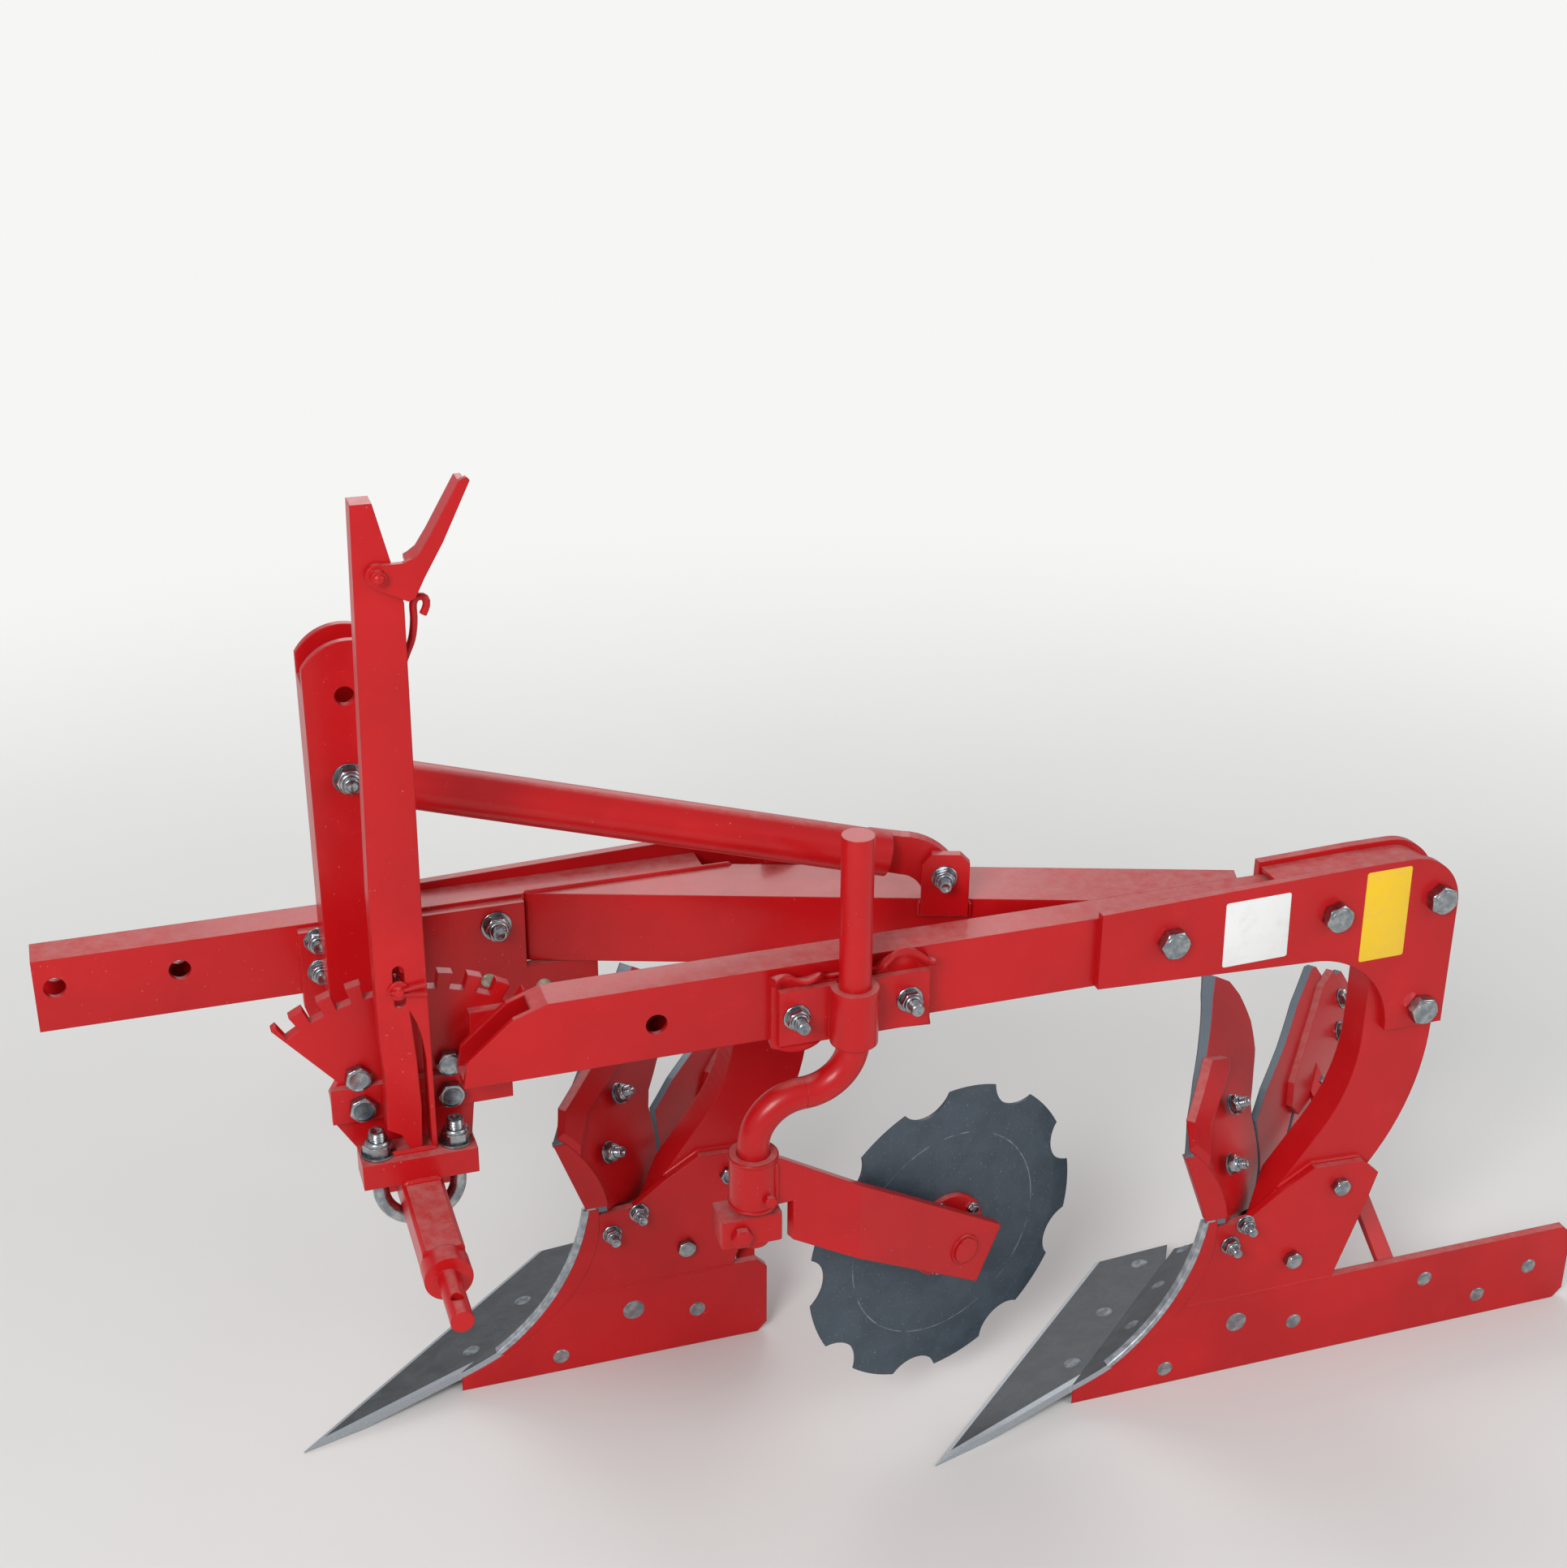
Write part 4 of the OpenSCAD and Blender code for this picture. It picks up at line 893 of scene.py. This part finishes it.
piece("collar_bolt", collar_bolt, "frame", RED)

# the hub is drawn again, with thin flanges
HUB_PROFILE = [(10.6, -14), (10.6, 35), (22.6, 35), (23.7, 34), (23.7, 8.5), (48.6, 8.5),
               (50, 7.5), (50, 2.5), (24.2, 2.5), (24.2, -2.5), (50, -2.5), (50, -7.5),
               (48.6, -8.5), (23.7, -8.5), (23.7, -13), (22.8, -14)]
hub = ring_form(HUB_PROFILE[::-1], (0, 0, 0))
hub = place(hub, arm_point(TRAIL, 0, AXLE_Z), -ARM_ACROSS)
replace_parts(piece("hub_with_flanges", hub, "disc_body", RED), "disc_hub")

HUB_BOLT_R = 41.0
HUB_FACE = 8.5
hub_bolts = []
for k in range(5):
    a = math.radians(34 + 72 * k)
    middle = arm_point(TRAIL + HUB_BOLT_R * math.cos(a), 0, AXLE_Z + HUB_BOLT_R * math.sin(a))
    head_at, nut_at = middle - HUB_FACE * ARM_ACROSS, middle + HUB_FACE * ARM_ACROSS
    hub_bolts.append(place(bolt_head(7, 1.2), head_at, -ARM_ACROSS, 20 * k))
    hub_bolts.append(place(lock_nut(7, 0.5), nut_at, ARM_ACROSS))
piece("hub_bolts", join(hub_bolts), "disc_body", ZINC)
axle_end = place(washer(30, 2.5), arm_point(TRAIL, -41, AXLE_Z), -ARM_ACROSS)
piece("axle_washer", axle_end, "coulter_arm_body", RED)

# Welds

BEADS = [("left_beam_seam", "frame", [(-690, 222, 627), (-985, 222, 627)]),
         ("slant_seam_right", "frame", [(-117, -10, 625.5), (-346, -10, 625.5)]),
         ("mast_seam", "frame", [(15, 3.5, 626.5), (99, 3.5, 626.5)]),
         ("lever_seam", "lever_body", [(25, 224, 485.5), (70, 224, 485.5)]),
         ("block_seam", "lever_body", [(24, 237.6, 458.4), (62, 237.6, 458.4)])]
BEAD_WIDE = 7
LEG_SEAM = np.array([(-262, -10, 239), (-303, -10, 264), (-367, -10, 261)])
LANDSIDE_SEAM = np.array([(-150, -1.5, 104), (-343, -1.5, 104)])
for name, body, path in BEADS:
    piece(name, weld_bead(path, BEAD_WIDE), body, RED_BEAD)
FOOT = [(-27, 4, 625), (-27, 4, 609), (25, 4, 609), (25, 4, 625)]
foot = [[*(EAR_BOLT[:2] + x * SLANT_ALONG[:2] + y * SLANT_OUT[:2]), z] for x, y, z in FOOT]
piece("bracket_seam", weld_bead(foot, 6), "frame", RED_BEAD)
for label, shift, *_ in BODIES:
    seams = [weld_bead(LEG_SEAM + shift, 6), weld_bead(LANDSIDE_SEAM + shift, 5)]
    piece(label + "_frog_seams", join(seams), "frame", RED_BEAD)

# Cover between the rear body's two plates, which follows their top and round corner

COVER_FLAT = [(-222, 634), (-330, 637)]
COVER_BEND = arc((-380, 581), 56, 90, 158, (1, 0), (0, 1), 14)
COVER_THICK = 5.0
COVER_Y = (-50.0, -10.0)


def cover_strip(outer, thick, y0, y1):
    """Bent strip: a rectangle, thick high and from y0 to y1 wide, carried along a path of
    (x, z)."""
    run = np.gradient(outer, axis=0)
    run /= np.linalg.norm(run, axis=1)[:, None]
    inner = outer + thick * np.stack([-run[:, 1], run[:, 0]], axis=1)
    return flat_strip([outer, inner, inner, outer], [y0, y0, y1, y1])


cover, faces = cover_strip(np.vstack([COVER_FLAT, COVER_BEND]), COVER_THICK, *COVER_Y)
piece("plate_cover", (cover + REAR, faces), "frame", RED)

# Blank label plates on the rear body's near plate

LABEL_CORNER, LABEL_THICK = 3.0, 0.5
LABELS = [("blank_white_label", (-854.5, 587), 77, 77, 1.5, "label_white", WHITE_FILM),
          ("blank_yellow_label", (-1011.5, 581), 55, 109, 1.0, "label_yellow", YELLOW_FILM)]
for name, (x, z), wide, high, lean, slot, film in LABELS:
    points, faces = rounded_plate(wide, high, LABEL_CORNER, LABEL_THICK)
    turned = points @ np.array(Matrix.Rotation(math.radians(lean), 3, "Z")).T
    upright = np.stack([-turned[:, 0], turned[:, 2], turned[:, 1]], axis=1)
    piece(name, (upright + np.array([x, REAR[1], z]), faces), "frame", film)

# Stage, light and camera


def soft_lamp(name, place_m, target, size, power):
    """Square area lamp aimed at a point."""
    lamp = bpy.data.lights.new(name, "AREA")
    lamp.shape = "SQUARE"
    lamp.size = size
    lamp.energy = power
    made = bpy.data.objects.new(name, lamp)
    made.location = place_m
    aim = Vector(target) - Vector(place_m)
    made.rotation_euler = aim.to_track_quat("-Z", "Y").to_euler()
    bpy.context.scene.collection.objects.link(made)


WHITE_SEEN = "#F6F6F5"
FLOOR_DARK = "#DAD9D6"
FLOOR_LIGHT = "#DFDEDB"
WORLD_LIT = "#F4F6FA"
WORLD_STRENGTH = 0.55
FADE_FROM, FADE_TO = 1.2, 3.2
FLOOR_SIZE = 14.0
LAMP_AIM = (0.0, 0.0, 0.4)


def studio_floor():
    """Pale matt floor with faint mottling. Far out it turns into the white of the backdrop,
    by distance from the middle, so that no edge shows."""
    made, tree, shader, coords = new_material("pale_studio_floor")
    obj = coords.outputs["Object"]
    tone = node(tree, "TexNoise", grain(obj, 400))
    colour = node(tree, "Mix", {0: tone, 6: linear(FLOOR_DARK), 7: linear(FLOOR_LIGHT)}, 2,
                  **COLOURS)
    tree.links.new(colour, shader.inputs["Base Color"])
    shader.inputs["Roughness"].default_value = 0.85
    far = node(tree, "VectorMath", {0: obj}, 1, operation="LENGTH")
    far = node(tree, "MapRange", {0: far, 1: FADE_FROM, 2: FADE_TO}, **SMOOTH)
    glow = node(tree, "Emission", {"Color": linear(WHITE_SEEN), "Strength": 1.0})
    seen = node(tree, "LightPath", {}, "Is Camera Ray")
    seen = node(tree, "Math", {0: far, 1: seen}, operation="MULTIPLY")
    both = node(tree, "MixShader", {0: seen, 1: shader.outputs[0], 2: glow})
    tree.links.new(both, tree.nodes["Material Output"].inputs["Surface"])
    grid = np.linspace(-FLOOR_SIZE, FLOOR_SIZE, 3)
    x, y = np.meshgrid(grid, grid)
    mesh = bpy.data.meshes.new("studio_floor")
    points = np.stack([x.ravel(), y.ravel(), np.full(9, -0.0004)], axis=1)
    mesh.from_pydata(points.tolist(), [], grid_faces(3, 3, False))
    mesh.materials.append(made)
    floor = bpy.data.objects.new("studio_floor", mesh)
    bpy.context.scene.collection.objects.link(floor)


def studio_world():
    """Soft pale light from all round; the camera sees plain white."""
    world = bpy.data.worlds.new("studio_world")
    world.use_nodes = True
    tree = world.node_tree
    tree.nodes.clear()
    path = tree.nodes.new("ShaderNodeLightPath")
    seen = node(tree, "Math", {0: path.outputs["Is Camera Ray"],
                               1: path.outputs["Is Transmission Ray"]},
                operation="ADD", use_clamp=True)
    lit = node(tree, "Background", {"Color": linear(WORLD_LIT), "Strength": WORLD_STRENGTH})
    white = node(tree, "Background", {"Color": linear(WHITE_SEEN), "Strength": 1.0})
    blend = node(tree, "MixShader", {0: seen, 1: lit, 2: white})
    node(tree, "OutputWorld", {0: blend})
    bpy.context.scene.world = world


studio_floor()
studio_world()
soft_lamp("key_lamp", (2.9, 3.3, 3.2), LAMP_AIM, 1.8, 150)
soft_lamp("fill_lamp", (-3.2, 2.6, 2.2), LAMP_AIM, 2.6, 42)
soft_lamp("back_lamp", (-0.6, -3.4, 2.8), LAMP_AIM, 2.4, 50)

# The camera stands where the photograph was taken from.
CAMERA_PLACE = (0.7651, 2.0537, 1.7246)
CAMERA_RIGHT = (-0.95021, 0.31154, 0.00631)
CAMERA_DOWN = (0.12453, 0.39824, -0.90879)
FOCAL_PIXELS = 2782.0
FRAME_PIXELS = 1931.0
SENSOR_MM = 36.0

right = Vector(CAMERA_RIGHT)
up = -Vector(CAMERA_DOWN)
backward = right.cross(up)
camera_data = bpy.data.cameras.new("photo_camera")
camera_data.sensor_fit = "HORIZONTAL"
camera_data.sensor_width = SENSOR_MM
camera_data.lens = FOCAL_PIXELS * SENSOR_MM / FRAME_PIXELS
camera = bpy.data.objects.new("photo_camera", camera_data)
turn = Matrix((right, up, backward)).transposed().to_4x4()
camera.matrix_world = Matrix.Translation(CAMERA_PLACE) @ turn
bpy.context.scene.collection.objects.link(camera)
bpy.context.scene.camera = camera
bpy.context.scene.view_settings.view_transform = "Standard"

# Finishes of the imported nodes

GROUND_RIM = (GROUND_DARK, GROUND_STEEL)
SLAT_RIM = ("#55616B", "#6C7983")
DISC_CENTRE = arm_point(TRAIL, 0, AXLE_Z)
FINISH = {
    "front_share": share_steel("hardened_share_front", FRONT),
    "rear_share": share_steel("hardened_share_rear", REAR),
    "disc": disc_steel("blue_grey_disc_paint", DISC_CENTRE, ARM_ACROSS),
    "front_mouldboard": board_steel("board_front", FRONT, 0.0, GROUND_RIM, 0.8),
    "rear_mouldboard": board_steel("board_rear", REAR, 0.0, GROUND_RIM, 0.8),
    "front_slats": board_steel("slats_front", FRONT, BOARD_T, SLAT_RIM, 0.5),
    "rear_slats": board_steel("slats_rear", REAR, BOARD_T, SLAT_RIM, 0.5),
}
for name, shown in NODES.items():
    for held in shown.material_slots:
        held.material = FINISH.get(name, RED)
